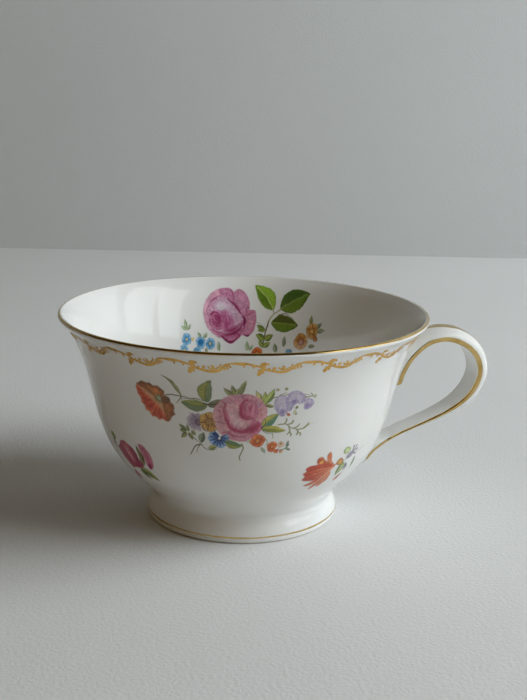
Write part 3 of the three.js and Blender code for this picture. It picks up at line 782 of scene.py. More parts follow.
class Transfer:
    """A sheet of overglaze colour. Across and up are in mm from the middle of the sheet."""

    def __init__(self, half_width, half_height, seed):
        across = np.arange(-half_width, half_width + CELL, CELL)
        height = np.arange(-half_height, half_height + CELL, CELL)
        self.u, self.v = np.meshgrid(across, height, indexing="ij")
        self.paint = np.zeros((*self.u.shape, 3))
        self.cover = np.zeros(self.u.shape)
        rng = np.random.default_rng(seed)
        self.grain = soft_noise(rng, self.u.shape, 1.2)
        self.cloud = soft_noise(rng, self.u.shape, 6)
        self.sway = [soft_noise(rng, self.u.shape, 5) * HAND_SWAY for _ in range(2)]
        self.rng = rng

    def window(self, low, high):
        i = np.searchsorted(self.u[:, 0], [low[0] - 0.3, high[0] + 0.3])
        j = np.searchsorted(self.v[0], [low[1] - 0.3, high[1] + 0.3])
        return slice(*i), slice(*j)

    def lay(self, window, mask, tone):
        mask = np.clip(mask, 0, 1)
        self.paint[window] = self.paint[window] * (1 - mask[..., None]) + tone * mask[..., None]
        self.cover[window] = self.cover[window] * (1 - mask) + mask

    def fill(self, outline, shade, strength=1.0, soft=EDGE_SOFTNESS):
        outline = np.asarray(outline, float)
        window = self.window(outline.min(0), outline.max(0))
        u, v = self.u[window], self.v[window]
        if u.size == 0:
            return
        u, v = u + self.sway[0][window], v + self.sway[1][window]
        inside = inside_distance(u, v, outline)
        tone = shade(u, v, inside, self.cloud[window])
        tone = tone * (1 + 0.07 * self.grain[window] + 0.05 * self.cloud[window])[..., None]
        self.lay(window, (inside / (2 * soft) + 0.5) * strength, tone)

    def shape(self, points, tone, **looks):
        """A closed rounded patch through given points."""
        strength, soft = looks.pop("strength", 1.0), looks.pop("soft", EDGE_SOFTNESS)
        self.fill(curve(points, 6, closed=True), shade(tone, **looks), strength, soft)

    def drape(self, points, root, tones, soft=0.16, ragged=0.13, strength=1.0):
        """A petal whose brush strokes run out from its root; tones go from root to rim."""
        outline = curve(points, 6, closed=True)
        tones, root = np.array([ink(tone) for tone in tones]), np.array(root, float)
        around = 2 * np.pi * np.linalg.norm(outline - root, axis=1).max() / BRISTLE
        phases = self.rng.uniform(0, 2 * np.pi, 4)

        def paint(u, v, inside, cloud):
            away = np.hypot(u - root[0], v - root[1])
            angle = np.arctan2(v - root[1], u - root[0])
            waves = zip((1, 0.63, 0.41, 1.7), phases)
            streak = sum(np.sin(round(k * around) * angle + p) for k, p in waves) / 2
            level = away / (away + np.maximum(inside, 0) * 1.2 + 1e-6) + 0.05 * cloud
            level = level + ragged * streak * smoothstep(away, 0.3, 1.5)
            level = np.clip(level, 0, 1) * (len(tones) - 1)
            low = np.minimum(level.astype(int), len(tones) - 2)
            return lerp(tones[low], tones[low + 1], (level - low)[..., None])

        self.fill(outline, paint, strength, soft)

    def stroke(self, points, width, tone, end_width=None, strength=1.0, belly=None, soft=0.06):
        """A brush line that tapers from width to end_width, or swells to belly midway."""
        line = curve(points, 8) if len(points) > 2 else np.asarray(points, float)
        line = at_lengths(line, np.linspace(0, lengths(line)[-1], max(6, 6 * len(points))))
        t = np.linspace(0, 1, len(line))
        wide = lerp(width, width * 0.4 if end_width is None else end_width, t)
        if belly is not None:
            wide = wide + (belly - wide) * np.sin(np.pi * t**1.2) ** 1.3
        side = tangents(line) @ np.array([[0, 1], [-1, 0]]) * wide[:, None] / 2
        outline = np.vstack([line + side, (line - side)[::-1]])
        self.fill(outline, shade(tone), strength, soft)

    def dot(self, centre, radius, tone, **looks):
        turn = np.linspace(0, 2 * np.pi, 14, endpoint=False)
        ring = np.array(centre) + radius * np.stack([np.cos(turn), np.sin(turn)], axis=1)
        soft = looks.pop("soft", EDGE_SOFTNESS)
        self.fill(ring, shade(tone, **looks), soft=soft)

    def leaf(self, base, tip, width, light, dark, bend=0.0, vein=None, teeth=0.0):
        """A pointed leaf: light on its left half, dark on its right, with midrib and veins."""
        base, tip = np.array(base, float), np.array(tip, float)
        size = np.linalg.norm(tip - base)
        along = (tip - base) / size
        across = np.array([-along[1], along[0]])
        t = np.linspace(0, 1, 26)
        half = width / 2 * np.sin(np.pi * t**0.82) ** 0.85
        half = half * (1 + teeth * (np.mod(t * 7, 1) - 0.5))
        spine = base + np.outer(t, tip - base) + np.outer(bend * np.sin(np.pi * t), across)
        left = spine + across * half[:, None]
        right_side = spine - across * half[:, None]
        outline = np.vstack([left, right_side[::-1]])
        light, dark = ink(light), ink(dark)
        vein = light * 1.25 + 0.03 if vein is None else ink(vein)

        def paint(u, v, inside, cloud):
            run = ((u - base[0]) * along[0] + (v - base[1]) * along[1]) / size
            side = (u - base[0]) * across[0] + (v - base[1]) * across[1]
            side = side - bend * np.sin(np.pi * np.clip(run, 0, 1))
            share = smoothstep(side + 0.12 * cloud, -0.16 * width, 0.10 * width)
            tone = lerp(dark, light, share[..., None])
            ribs = np.cos((run * size - np.abs(side) * 0.9) * 2 * np.pi / (0.34 * width**0.5 + 0.1))
            tone = tone * (1 - 0.13 * smoothstep(ribs, 0.2, 1))[..., None]
            rim = 1 - smoothstep(inside, 0, 0.16 * width)
            tone = lerp(tone, dark * 0.72, (rim * 0.6)[..., None])
            middle = np.exp(-((side / (0.035 * width + 0.035)) ** 2)) * (run < 0.92)
            return lerp(tone, vein, (middle * 0.7)[..., None])

        self.fill(outline, paint)

    def petal(self, base, tip, width, tone, dark, light, lines=3, blunt=1.6):
        """A petal, narrow at its base and round at its tip, with brushed lines along it."""
        base, tip = np.array(base, float), np.array(tip, float)
        size = np.linalg.norm(tip - base)
        along = (tip - base) / size
        across = np.array([-along[1], along[0]])
        t = np.linspace(0, 1, 20)
        half = width / 2 * np.sin(np.pi * np.clip(t, 0, 1) ** blunt) ** 0.62
        half[0] = width * 0.08
        spine = base + np.outer(t, tip - base)
        outline = np.vstack([spine + across * half[:, None], (spine - across * half[:, None])[::-1]])
        tone, dark, light = ink(tone), ink(dark), ink(light)

        def paint(u, v, inside, cloud):
            run = ((u - base[0]) * along[0] + (v - base[1]) * along[1]) / size
            side = (u - base[0]) * across[0] + (v - base[1]) * across[1]
            shown = lerp(tone, light, smoothstep(run + 0.1 * cloud, 0.35, 0.95)[..., None])
            rays = np.cos(side / (0.3 + np.abs(run)) * lines * np.pi * 2.2 / width)
            rays = smoothstep(-rays, 0.2, 1) * (1 - smoothstep(run, 0.5, 0.95))
            shown = lerp(shown, dark, (rays * 0.55)[..., None])
            shown = lerp(shown, dark, (0.55 * (1 - smoothstep(run, 0, 0.4)))[..., None])
            rim = 1 - smoothstep(inside, 0, 0.10 * width + 0.06)
            return lerp(shown, dark, (rim * 0.5)[..., None])

        self.fill(outline, paint)

    def flower(self, centre, radius, count, tones, turn=0.0, heart=None, wide=1.15):
        """A small open flower; tones are its petals' middle, dark and light colours."""
        centre = np.array(centre, float)
        for k in range(count):
            angle = turn + 2 * np.pi * k / count
            reach = radius * (1 + 0.08 * math.sin(k * 2.3 + turn))
            tip = centre + reach * np.array([math.cos(angle), math.sin(angle)])
            self.petal(centre, tip, wide * 2 * radius * math.sin(np.pi / count), *tones)
        if heart:
            self.dot(centre, radius * 0.30, heart[0], edge=heart[1], reach=radius * 0.12)
            for k in range(5):
                angle = 1.3 * k + turn
                spot = centre + 0.42 * radius * np.array([math.cos(angle), math.sin(angle)])
                self.dot(spot, radius * 0.07, heart[1])

    def place(self, name, node, turn, height, inside=False):
        """Lays the sheet on the wall, outside or inside the cup."""
        shown = self.cover > PAINTED
        cells = shown[:-1, :-1] | shown[1:, :-1] | shown[:-1, 1:] | shown[1:, 1:]
        quads = grid_faces(*self.u.shape)[cells.reshape(-1)]
        used, quads = np.unique(quads, return_inverse=True)
        quads = quads.reshape(-1, 4)
        reach = np.interp(height, WALL_SIDE[:, 1], WALL_SIDE[:, 0])
        across = self.u.reshape(-1)[used]
        up_wall = self.v.reshape(-1)[used]
        if inside:
            across = -across
        cover = self.cover.reshape(-1)[used]
        lift = np.where(cover > PAINTED, 0.014 + 0.012 * cover, -SUNK)
        turns = math.radians(turn) + across / reach
        points = wall_points(turns, height + up_wall, lift, inside)
        thing = piece(name, points, quads.tolist(), ENAMEL, "flower_enamel", [node], closed=False)
        mesh = thing.data
        colours = np.ones((len(used), 4), np.float32)
        colours[:, :3] = self.paint.reshape(-1, 3)[used]
        mesh.attributes.new("paint", "FLOAT_COLOR", "POINT").data.foreach_set(
            "color", colours.ravel()
        )
        mesh.attributes.new("cover", "FLOAT", "POINT").data.foreach_set(
            "value", self.cover.reshape(-1)[used].astype(np.float32)
        )


def shade(tone, edge=None, reach=0.5, light=None, spot=None, size=1.2):
    """A patch's colouring: an edge tone within reach of the outline, and a light of that
    size round a spot."""
    tone = ink(tone)
    edge = None if edge is None else ink(edge)
    light = None if light is None else ink(light)

    def paint(u, v, inside, cloud):
        shown = np.broadcast_to(tone, (*u.shape, 3))
        if light is not None:
            glow = np.exp(-((u - spot[0]) ** 2 + (v - spot[1]) ** 2) / (2 * size**2))
            shown = lerp(shown, light, np.clip(glow + 0.08 * cloud, 0, 1)[..., None])
        if edge is not None:
            rim = 1 - smoothstep(inside + 0.05 * cloud, 0, reach)
            shown = lerp(shown, edge, (0.8 * rim)[..., None])
        return shown

    return paint


# Leaf greens, as (light half, dark half).
SPRING = ("a2a65a", "6a7c46")
OLIVE = ("94945a", "646a40")
GREY_GREEN = ("9aa283", "66745a")
STEM = "7c7348"

ORANGE = ("cd6434", "8f3a1a", "dc8648")
OCHRE = ("c69446", "6b4016", "d8b060")
SKY = ("5f9ec6", "1f689c", "98c2dc")


def ray(degrees):
    return np.array((math.cos(math.radians(degrees)), math.sin(math.radians(degrees))))


def paint_petals(sheet, petals):
    for points, root, tones in petals:
        sheet.drape(points, root, tones)


def paint_outer_rose(sheet):
    paint_petals(sheet, (
        # the whole bloom, then its top, right, left and lower petals
        ([(-4.0, 1.1), (-3.5, 3.4), (-1.9, 5.5), (0, 6.4), (2.3, 6.9), (4.6, 6.8), (6.3, 6.1),
          (7.6, 4.6), (8.5, 2.6), (8.4, 0.6), (7.7, -1.6), (6.6, -3.3), (5.3, -4.5), (3.1, -5.4),
          (0.2, -5.0), (-1.9, -4.0), (-3.2, -2.4), (-3.5, -0.7)],
         (3.2, 1.6), ("aa4a6a", "b8607e", "c6788e", "cf909c")),
        ([(-1.9, 5.3), (-0.6, 6.3), (1.2, 6.7), (3.0, 6.9), (3.3, 6.0), (2.2, 5.1), (0.6, 4.5),
          (-1.2, 3.8)], (2.6, 3.0), ("a64c6a", "b56a82", "c28296", "ca949e")),
        ([(2.6, 6.8), (4.6, 6.8), (6.1, 6.1), (7.2, 4.9), (6.6, 3.6), (5.4, 4.4), (4.0, 5.6),
          (2.9, 5.9)], (3.9, 3.0), ("ab5470", "bb6e88", "c98898", "cd96a0")),
        ([(6.5, 5.7), (7.6, 4.5), (8.4, 2.8), (8.4, 0.9), (7.7, -0.7), (6.5, -0.4), (5.9, 1.2),
          (6.0, 3.4)], (4.2, 2.2), ("ab5674", "c27286", "d0929e", "d6a0a8")),
        ([(6.3, -0.1), (7.8, -1.0), (7.2, -2.6), (5.7, -4.2), (4.3, -4.7), (4.0, -3.3),
          (5.3, -2.2)], (4.4, 0), ("9c2e50", "a83c60", "b65676", "c67890")),
        ([(-4.0, 1.1), (-3.4, 3.0), (-2.6, 4.3), (-1.7, 5.3), (-0.9, 4.2), (-1.1, 2.0),
          (-1.2, 0.2), (-2.4, -0.5), (-3.5, -0.3)],
         (0.6, 2.4), ("a44866", "bb6a80", "ca8c96", "d6a6a4")),
        ([(-3.5, -0.5), (-3.1, -2.3), (-2.1, -3.4), (-0.8, -3.7), (0, -2.2), (-1.0, -0.5),
          (-2.2, -0.2)], (0.8, 0.8), ("b05a74", "c07c8c", "cc949c", "d4a6a6")),
        ([(-2.0, -3.2), (-1.0, -4.4), (0.2, -5.0), (1.6, -5.1), (2.0, -3.6), (0.8, -2.8),
          (-0.5, -2.8)], (1.8, 0.2), ("a84a68", "bc6c84", "ca8896", "ce949e")),
        ([(0.5, -4.8), (2.0, -5.4), (3.5, -5.3), (4.8, -4.6), (5.3, -3.4), (4.0, -2.8),
          (2.3, -2.8), (0.9, -3.1), (0.2, -4.0)],
         (3.2, -0.6), ("aa4264", "c07088", "cd8e9c", "c68294")),
    ))
    sheet.stroke([(0.3, -3.4), (2.4, -3.25), (4.6, -3.3)], 0.3, "d09cac", end_width=0.2, soft=0.15)
    sheet.stroke([(1.2, -4.0), (2.4, -4.3), (3.6, -4.0)], 0.25, "a04468", end_width=0.15, soft=0.12)
    sheet.stroke([(-2.7, 3.2), (-2.2, 1.6), (-2.4, 0.2)], 0.3, "a8536f", soft=0.15, strength=0.7)
    sheet.stroke([(-1.0, 4.6), (-1.3, 2.8), (-1.2, 0.9), (-0.5, -1.0), (0.6, -2.3), (2.2, -2.9),
                  (3.9, -3.0), (5.5, -2.4), (6.8, -1.2)], 0.35, "a83c5c", end_width=0.5, belly=0.95,
                 soft=0.28)
    sheet.stroke([(2.8, -2.8), (5.0, -2.1), (6.8, -0.8)], 0.5, "a03454", end_width=0.4, belly=1.6,
                 soft=0.5)
    sheet.stroke([(-0.9, -2.9), (0.1, -3.7), (1.2, -4.4)], 0.4, "a8506a", end_width=0.3, belly=0.8,
                 soft=0.25, strength=0.8)
    for points, width in (
        ([(2.7, 5.9), (2.9, 6.4), (3.4, 6.9)], 0.3), ([(-3.6, -0.4), (-2.4, -0.4), (-1.1, -0.9)], 0.3),
        ([(-2.1, -3.3), (-0.8, -2.9), (0.3, -2.9)], 0.3), ([(5.6, 4.4), (6.4, 3.7), (7.3, 4.8)], 0.28),
        ([(6.2, 0), (7.1, -0.8), (8.0, -1.0)], 0.3), ([(-1.9, 5.3), (-1.2, 4.2), (-0.9, 3.2)], 0.35),
        ([(4.4, -3.3), (5.0, -3.9), (5.4, -4.3)], 0.3), ([(6.3, 3.0), (6.1, 1.6), (6.3, 0.3)], 0.3),
    ):
        sheet.stroke(points, width, "9c4460", end_width=width * 0.5, soft=0.14, strength=0.75)
    for points in (
        [(0.2, 6.2), (0.9, 5.6), (1.3, 5.1)], [(4.4, 6.4), (4.6, 5.9), (4.4, 5.6)],
        [(-3.3, 1.0), (-2.9, 2.4), (-2.3, 3.6)], [(7.4, 3.4), (7.5, 2.0), (7.1, 0.8)],
        [(-2.6, -1.2), (-1.6, -1.8), (-0.8, -2.6)], [(2.0, -4.9), (3.2, -4.8), (4.2, -4.2)],
    ):
        sheet.stroke(points, 0.35, "dca4ac", end_width=0.2, soft=0.2, strength=0.6)
    # the pale bowl in front
    paint_petals(sheet, (
        ([(-0.7, 1.1), (-1.0, 2.9), (-0.6, 4.6), (0.5, 5.4), (1.9, 5.3), (2.6, 4.2), (2.6, 2.0),
          (3.7, 0.8), (4.9, 0.7), (5.2, 0.1), (4.6, -1.1), (3.4, -2.0), (2.2, -2.2), (0.6, -1.6),
          (-0.3, -0.3)],
         (3.7, 2.9), ("ad5070", "bc7086", "cf959f", "d9a9ae", "d09aa4", "c07c8c")),
        ([(-0.3, 1.3), (-0.2, 2.4), (0.6, 2.6), (1.4, 1.2), (2.4, 0.1), (3.4, -0.5), (3.0, -1.5),
          (1.6, -1.4), (0.3, -0.5)], (3.4, 2.2), ("d09ca5", "ddbcbe", "dcbabe", "cf9ea8")),
    ))
    sheet.stroke([(-0.3, 4.3), (-0.5, 2.6), (-0.1, 1.2)], 0.25, "dab6ba", soft=0.15)
    sheet.stroke([(1.0, 4.6), (0.8, 3.2), (1.1, 2.0)], 0.3, "b97488", soft=0.16, strength=0.6)
    # the heart
    sheet.drape([(2.4, 3.4), (2.5, 4.8), (3.4, 5.6), (4.8, 5.5), (5.8, 4.5), (6.1, 2.9), (5.8, 1.4),
                 (4.8, 0.5), (3.4, 0.4), (2.5, 1.3)], (4.4, 3.1),
                ("ae4a6c", "c4708a", "ca8092", "bc6a82"), ragged=0.3)
    sheet.stroke([(4.0, 5.5), (3.0, 5.0), (2.4, 3.8), (2.3, 2.4), (2.7, 1.2), (3.7, 0.55),
                  (5.0, 0.6)], 0.35, "a8385a", end_width=0.4, belly=1.05, soft=0.26)
    for points, width, tone in (
        ([(3.5, 4.4), (3.1, 3.2), (3.5, 1.8)], 0.42, "a63658"),
        ([(3.1, 1.7), (3.8, 1.1), (4.6, 1.2)], 0.5, "ac3c5e"),
        ([(4.5, 4.7), (3.9, 3.7), (4.1, 2.5)], 0.35, "d8949f"),
        ([(3.6, 4.9), (3.4, 4.2), (3.6, 3.5)], 0.25, "d48c9c"),
        ([(4.9, 3.9), (4.5, 2.9), (4.7, 1.9)], 0.28, "b04e6e"),
        ([(5.3, 4.6), (5.2, 3.2), (5.3, 1.8)], 0.25, "d99aa4"),
        ([(5.8, 4.4), (5.7, 3.0), (5.6, 1.4)], 0.25, "b25672"),
        ([(6.5, 4.3), (6.3, 2.8), (6.3, 1.0)], 0.22, "b7627e"),
        ([(7.2, 3.8), (6.9, 2.4), (6.9, 0.7)], 0.2, "bb6c84"),
    ):
        sheet.stroke(points, width, tone, end_width=width * 0.6, soft=0.13, strength=0.85)
    sheet.dot((6.9, 3.0), 0.35, "c58a74", soft=0.2)
    sheet.dot((7.1, 1.5), 0.3, "bf8a7c", soft=0.2)
    sheet.dot((6.5, 4.1), 0.3, "a684b0", soft=0.2)


def paint_poppy(sheet):
    paint_petals(sheet, (
        ([(-22.7, 6.4), (-20.6, 7.2), (-18.0, 7.0), (-16.0, 5.8), (-14.4, 4.0), (-14.0, 1.6),
          (-14.6, -0.6), (-16.2, -1.4), (-17.6, 0.6), (-19.4, 2.8), (-21.4, 4.8)],
         (-17.4, 3.8), ("9a8a58", "c08c58", "cf9c68", "cc8c5c")),
        ([(-22.9, 6.8), (-22.1, 7.5), (-21.0, 8.0), (-20.0, 7.7), (-19.0, 7.9), (-18.1, 7.4),
          (-17.1, 7.3), (-16.2, 6.9), (-15.5, 6.3), (-15.5, 5.4), (-16.3, 4.6), (-18.0, 4.1),
          (-19.4, 5.0), (-21.2, 6.2)],
         (-17.4, 3.6), ("9a8a50", "d4a060", "c88444", "b0682e", "7e4a20")),
        ([(-16.3, 3.0), (-15.0, 3.6), (-13.8, 3.2), (-13.3, 2.3), (-13.7, 1.3), (-13.4, 0.4),
          (-14.2, -0.3), (-14.6, -1.1), (-15.5, -1.9), (-16.6, -1.5), (-16.2, 0.6)],
         (-17.0, 3.2), ("d4a060", "ca8446", "b06a30", "8a5224")),
        ([(-16.6, 3.9), (-15.7, 4.9), (-14.4, 4.8), (-14.1, 3.9), (-14.8, 3.1), (-16.0, 2.9)],
         (-17.0, 3.8), ("6c4222", "84562e", "6a3a1c")),
        ([(-23.1, 6.4), (-22.3, 6.6), (-20.8, 5.2), (-19.1, 3.5), (-17.4, 2.0), (-16.2, 0.6),
          (-15.7, -0.9), (-16.2, -1.9), (-17.1, -1.5), (-18.0, -1.9), (-18.9, -1.2),
          (-19.9, -1.2), (-20.6, -0.1), (-21.4, 0.2), (-21.8, 1.4), (-22.5, 2.1), (-22.6, 3.4),
          (-23.2, 4.4)],
         (-16.4, 4.8), ("d98458", "b83418", "b02c12", "c44a26", "d47448")),
    ))
    sheet.dot((-17.6, 6.0), 0.8, "d98a48", edge="b8682e", reach=0.5, soft=0.2)
    sheet.stroke([(-22.5, 6.3), (-20.8, 4.9), (-19.0, 3.2), (-17.2, 1.5), (-16.2, -0.2)], 0.3,
                 "e2a98c", end_width=0.2, strength=0.6, soft=0.12)
    for tip in ((-21.6, 3.9), (-20.9, 2.2), (-19.9, 0.8), (-18.6, 0), (-17.3, -0.6)):
        start = lerp(np.array((-17.4, 3.2)), np.array(tip), 0.35)
        sheet.stroke([start, tip], 0.22, "d8683c", end_width=0.45, strength=0.45, soft=0.14)
    for tip in ((-22.0, 3.0), (-21.0, 0.9), (-19.4, -0.6), (-17.6, -1.2)):
        start = lerp(np.array((-17.4, 3.2)), np.array(tip), 0.45)
        sheet.stroke([start, tip], 0.25, "9c2410", end_width=0.45, strength=0.7, soft=0.14)
    for spot in ((-21.7, 7.3), (-20.4, 7.5), (-18.9, 7.4), (-16.3, 6.5), (-14.1, 2.4), (-14.2, 0.6)):
        sheet.dot(spot, 0.3, "6f421f", soft=0.16)
    sheet.dot((-17.2, 4.0), 0.85, "a2a67e", edge="6a6a40", reach=0.5)
    sheet.stroke([(-18.2, 3.7), (-17.2, 3.1), (-16.2, 3.3)], 0.3, "6d5a31")


def paint_bell(sheet, points, spot, low):
    root = (spot[0] - 0.3, spot[1] + 2.6)
    sheet.drape(points, root, ("8d7fa6", "a396b2", "b7acc2", "c9c1cf", "9f92b4"))
    sheet.dot(low, 0.75, "8f7fae", edge="a597b8", reach=0.7, soft=0.2)


def paint_spray(sheet):
    # stems and leaves behind the flowers
    sheet.stroke([(-15.2, 5.3), (-13, 5.6), (-11.7, 5.5), (-9.2, 5.3), (-6.8, 5.1), (-5.3, 4.6)],
                 0.28, STEM, end_width=0.3)
    sheet.stroke([(-15.4, 10.5), (-13.7, 9.5), (-12.5, 8.0), (-11.6, 6.5), (-11.3, 5.3)],
                 0.2, "8b8a5a", end_width=0.3, belly=1.05)
    sheet.stroke([(-14.0, 9.5), (-12.7, 8.0), (-11.7, 6.3)], 0.12, "5f6238", end_width=0.2)
    sheet.stroke([(-12.9, 8.7), (-12.1, 7.6), (-11.6, 6.5)], 0.25, "b5bd84", end_width=0.2)
    sheet.stroke([(-11.5, 5.4), (-12.2, 4.2), (-12.9, 3.3)], 0.3, STEM)
    sheet.stroke([(-11.4, 5.2), (-11.3, 4.2), (-11.8, 3.6)], 0.22, "6e6d3c")
    sheet.leaf((-5.3, 4.4), (-4.1, 10.4), 3.4, "9b9c44", "76865a", bend=0.9, vein="566a38")
    sheet.leaf((-5.2, 3.5), (-11.6, 4.1), 3.1, "76835a", "98a04e", bend=0.5, vein="566a38")
    sheet.stroke([(-11.0, 4.9), (-8.6, 5.0), (-6.2, 4.4)], 0.25, "62703c", strength=0.7)
    sheet.leaf((-5.0, 4.0), (-1.6, 5.6), 1.3, "8d8a64", "5e5a3c", bend=-0.2)
    sheet.leaf((-5.2, 3.6), (-2.0, 3.5), 1.1, "84835f", "5a5538")
    sheet.stroke([(-6.1, 4.1), (-4.6, 3.9), (-2.8, 4.3)], 0.45, "57503a", end_width=0.3)
    sheet.leaf((0.8, 6.3), (-1.4, 8.6), 1.2, *OLIVE)
    sheet.leaf((1.0, 6.4), (0.5, 9.4), 1.2, *OLIVE, bend=-0.15)
    sheet.leaf((1.2, 6.4), (2.0, 8.6), 0.9, "a9ab70", "6f7444")
    sheet.leaf((2.3, 6.5), (3.5, 10.7), 1.25, "a9ab74", "7d8452", bend=0.15)
    sheet.stroke([(2.0, 6.6), (2.4, 8.0), (3.2, 9.9)], 0.2, "6f7848")
    sheet.leaf((7.4, 4.4), (5.8, 8.2), 1.2, "c3b878", "8c8548", bend=0.2)
    sheet.leaf((7.5, 4.5), (7.7, 7.7), 1.3, *SPRING)
    sheet.leaf((7.6, 4.5), (9.8, 8.3), 1.7, "b3bd6a", "6f8a40", bend=-0.2)
    sheet.leaf((7.4, 4.3), (10.1, 3.6), 1.1, "a9ad6c", "75743f")
    sheet.stroke([(6.6, 5.2), (7.4, 4.4), (8.6, 3.9)], 0.3, "7d6c4a")

    paint_poppy(sheet)

    # purple daisy, then the ochre and blue flowers in front of it
    for k in range(17):
        angle = math.radians(62 + 14.5 * k)
        reach = 2.5 + 0.25 * math.sin(k * 2.1)
        tip = (-8.2 + reach * math.cos(angle), -1.0 + reach * math.sin(angle))
        sheet.petal((-7.9, -1.0), tip, 0.62, "a898a8", "705a78", "c8bcc6", lines=1)
    sheet.dot((-7.6, -1.0), 0.9, "8a6e7a", edge="64485c", reach=0.5)
    sheet.stroke([(-9.0, 0.9), (-8.0, -0.2), (-7.2, -0.6)], 0.25, "6f527c")
    sheet.flower((-5.0, -0.7), 2.6, 5, OCHRE, turn=1.35, heart=("d2a860", "5e3812"), wide=0.92)
    for k in range(5):
        angle = 1.35 + 2 * np.pi * k / 5 + 0.62
        tip = (-5.0 + 2.2 * math.cos(angle), -0.7 + 2.2 * math.sin(angle))
        sheet.stroke([(-5.0, -0.7), tip], 0.12, "6b4016", end_width=0.4)
    sheet.stroke([(-6.8, -1.8), (-6.4, -2.8), (-5.4, -3.3)], 0.3, "7a4c22")

    paint_outer_rose(sheet)

    middle = np.array((-2.8, -4.9))
    for angle, reach in ((20, 2.6), (128, 2.3), (154, 2.7), (183, 2.8), (212, 2.6), (240, 2.6),
                         (266, 2.6), (292, 2.6), (320, 2.8), (348, 2.9)):
        sheet.petal(middle, middle + reach * ray(angle), 1.35, "5c86bc", "1f3272", "93b6dc", lines=2)
    for angle in (6, 34, 116, 141, 168, 198, 226, 253, 279, 306, 334):
        sheet.stroke([middle, middle + 2.5 * ray(angle)], 0.42, "20306c", end_width=0.14, strength=0.85)
    sheet.shape([(-4.4, -3.7), (-3.6, -3.2), (-2.9, -3.9), (-3.3, -4.4), (-4.2, -4.2)], "2b3a78",
                edge="1f2a58", reach=0.3)
    sheet.dot(middle, 0.42, "d9dcd6", edge="555f80", reach=0.25)
    sheet.stroke([(-2.2, -4.2), (-1.6, -4.3), (-1.2, -4.9)], 0.3, "3b3f4e")

    # greens at the lower left
    for base, tip, width in (
        ((-10.7, -3.7), (-12.7, -1.9), 1.0), ((-10.8, -3.9), (-12.7, -3.5), 1.1),
        ((-10.6, -4.1), (-12.3, -5.6), 1.2), ((-10.2, -3.8), (-10.7, -1.9), 0.8),
        ((-10.1, -4.0), (-9.4, -5.9), 1.1), ((-9.6, -3.4), (-8.4, -4.6), 0.9),
    ):
        sheet.leaf(base, tip, width, "a0a260", "6a7444")
    sheet.leaf((-7.3, -6.5), (-6.4, -3.5), 1.7, "8e9a7c", "5d6c54", bend=0.2, vein="4c5840")
    sheet.stroke([(-9.4, -4.9), (-8.4, -5.9), (-7.4, -6.8)], 0.3, "7b7f58")
    sheet.stroke([(-7.4, -6.8), (-8.9, -7.5), (-9.7, -8.7), (-10.4, -9.9)], 0.35, "6d6c48",
                 end_width=0.28)
    sheet.stroke([(-7.6, -7.0), (-8.3, -8.0), (-8.6, -9.2)], 0.25, "8d8c6a", end_width=0.15)
    sheet.stroke([(-7.3, -6.8), (-6.2, -7.9), (-5.0, -8.2), (-3.6, -7.7)], 0.3, "7a7b50")
    sheet.leaf((-5.6, -7.8), (-3.4, -6.9), 1.2, "b2b264", "7b8a4c")
    sheet.leaf((-1.3, -5.6), (3.0, -6.7), 2.3, "66805a", "969c48", bend=-0.45, vein="526638")
    sheet.stroke([(2.8, -6.0), (3.0, -7.4), (2.5, -8.8), (2.2, -9.7), (2.5, -10.7)], 0.32,
                 "8c8a5c", end_width=0.3)

    # violet bells
    sheet.stroke([(9.0, 5.8), (11.2, 6.2), (13.0, 6.7), (16.6, 6.6), (18.6, 5.8)], 0.25, "7f7350")
    sheet.stroke([(10.9, 6.4), (11.9, 7.0), (12.8, 7.3)], 0.3, "726b48")
    sheet.dot((10.5, 8.1), 0.4, "b9b18c")
    sheet.dot((12.4, 8.3), 0.45, "a59f78", edge="8b8562", reach=0.3)
    paint_bell(
        sheet,
        [(13.3, 7.1), (14.4, 7.6), (15.7, 7.2), (17.0, 6.3), (17.4, 5.5), (16.9, 4.3),
         (16.0, 4.0), (15.0, 4.3), (14.4, 2.9), (13.7, 2.2), (13.0, 3.4), (12.8, 5.4)],
        (15.0, 6.5), (14.6, 4.6),
    )
    paint_bell(
        sheet,
        [(9.9, 4.8), (10.2, 3.2), (11.0, 1.6), (12.2, 0.8), (13.1, 1.6), (13.6, 3.2),
         (13.3, 4.9), (12.6, 6.2), (11.3, 6.3), (10.2, 5.7)],
        (11.8, 4.6), (12.0, 2.2),
    )
    paint_bell(
        sheet,
        [(17.3, 5.1), (19.0, 5.0), (19.5, 3.5), (18.1, 2.3), (17.4, 2.6), (17.1, 3.9)],
        (18.4, 4.5), (17.9, 3.3),
    )
    sheet.stroke([(12.4, 5.7), (12.9, 4.3), (13.1, 2.6)], 0.18, "8f7fb4")
    sheet.stroke([(16.9, 5.9), (18.0, 5.6), (18.8, 5.9), (19.8, 5.2)], 0.3, "7d7a54")
    sheet.stroke([(18.3, 6.7), (18.9, 6.1), (19.0, 5.6)], 0.35, "98966c")
    sheet.dot((19.6, 5.9), 0.35, "b8b68e")
    sheet.dot((15.4, 3.1), 0.38, "837a5a")
    sheet.leaf((15.3, 2.6), (14.7, 1.3), 0.7, "c3c49a", "9a9d78")
    sheet.dot((15.3, 1.5), 0.3, "8d9280")
    sheet.dot((13.5, 1.4), 0.5, "b76a50", edge="d7a698", reach=0.25)

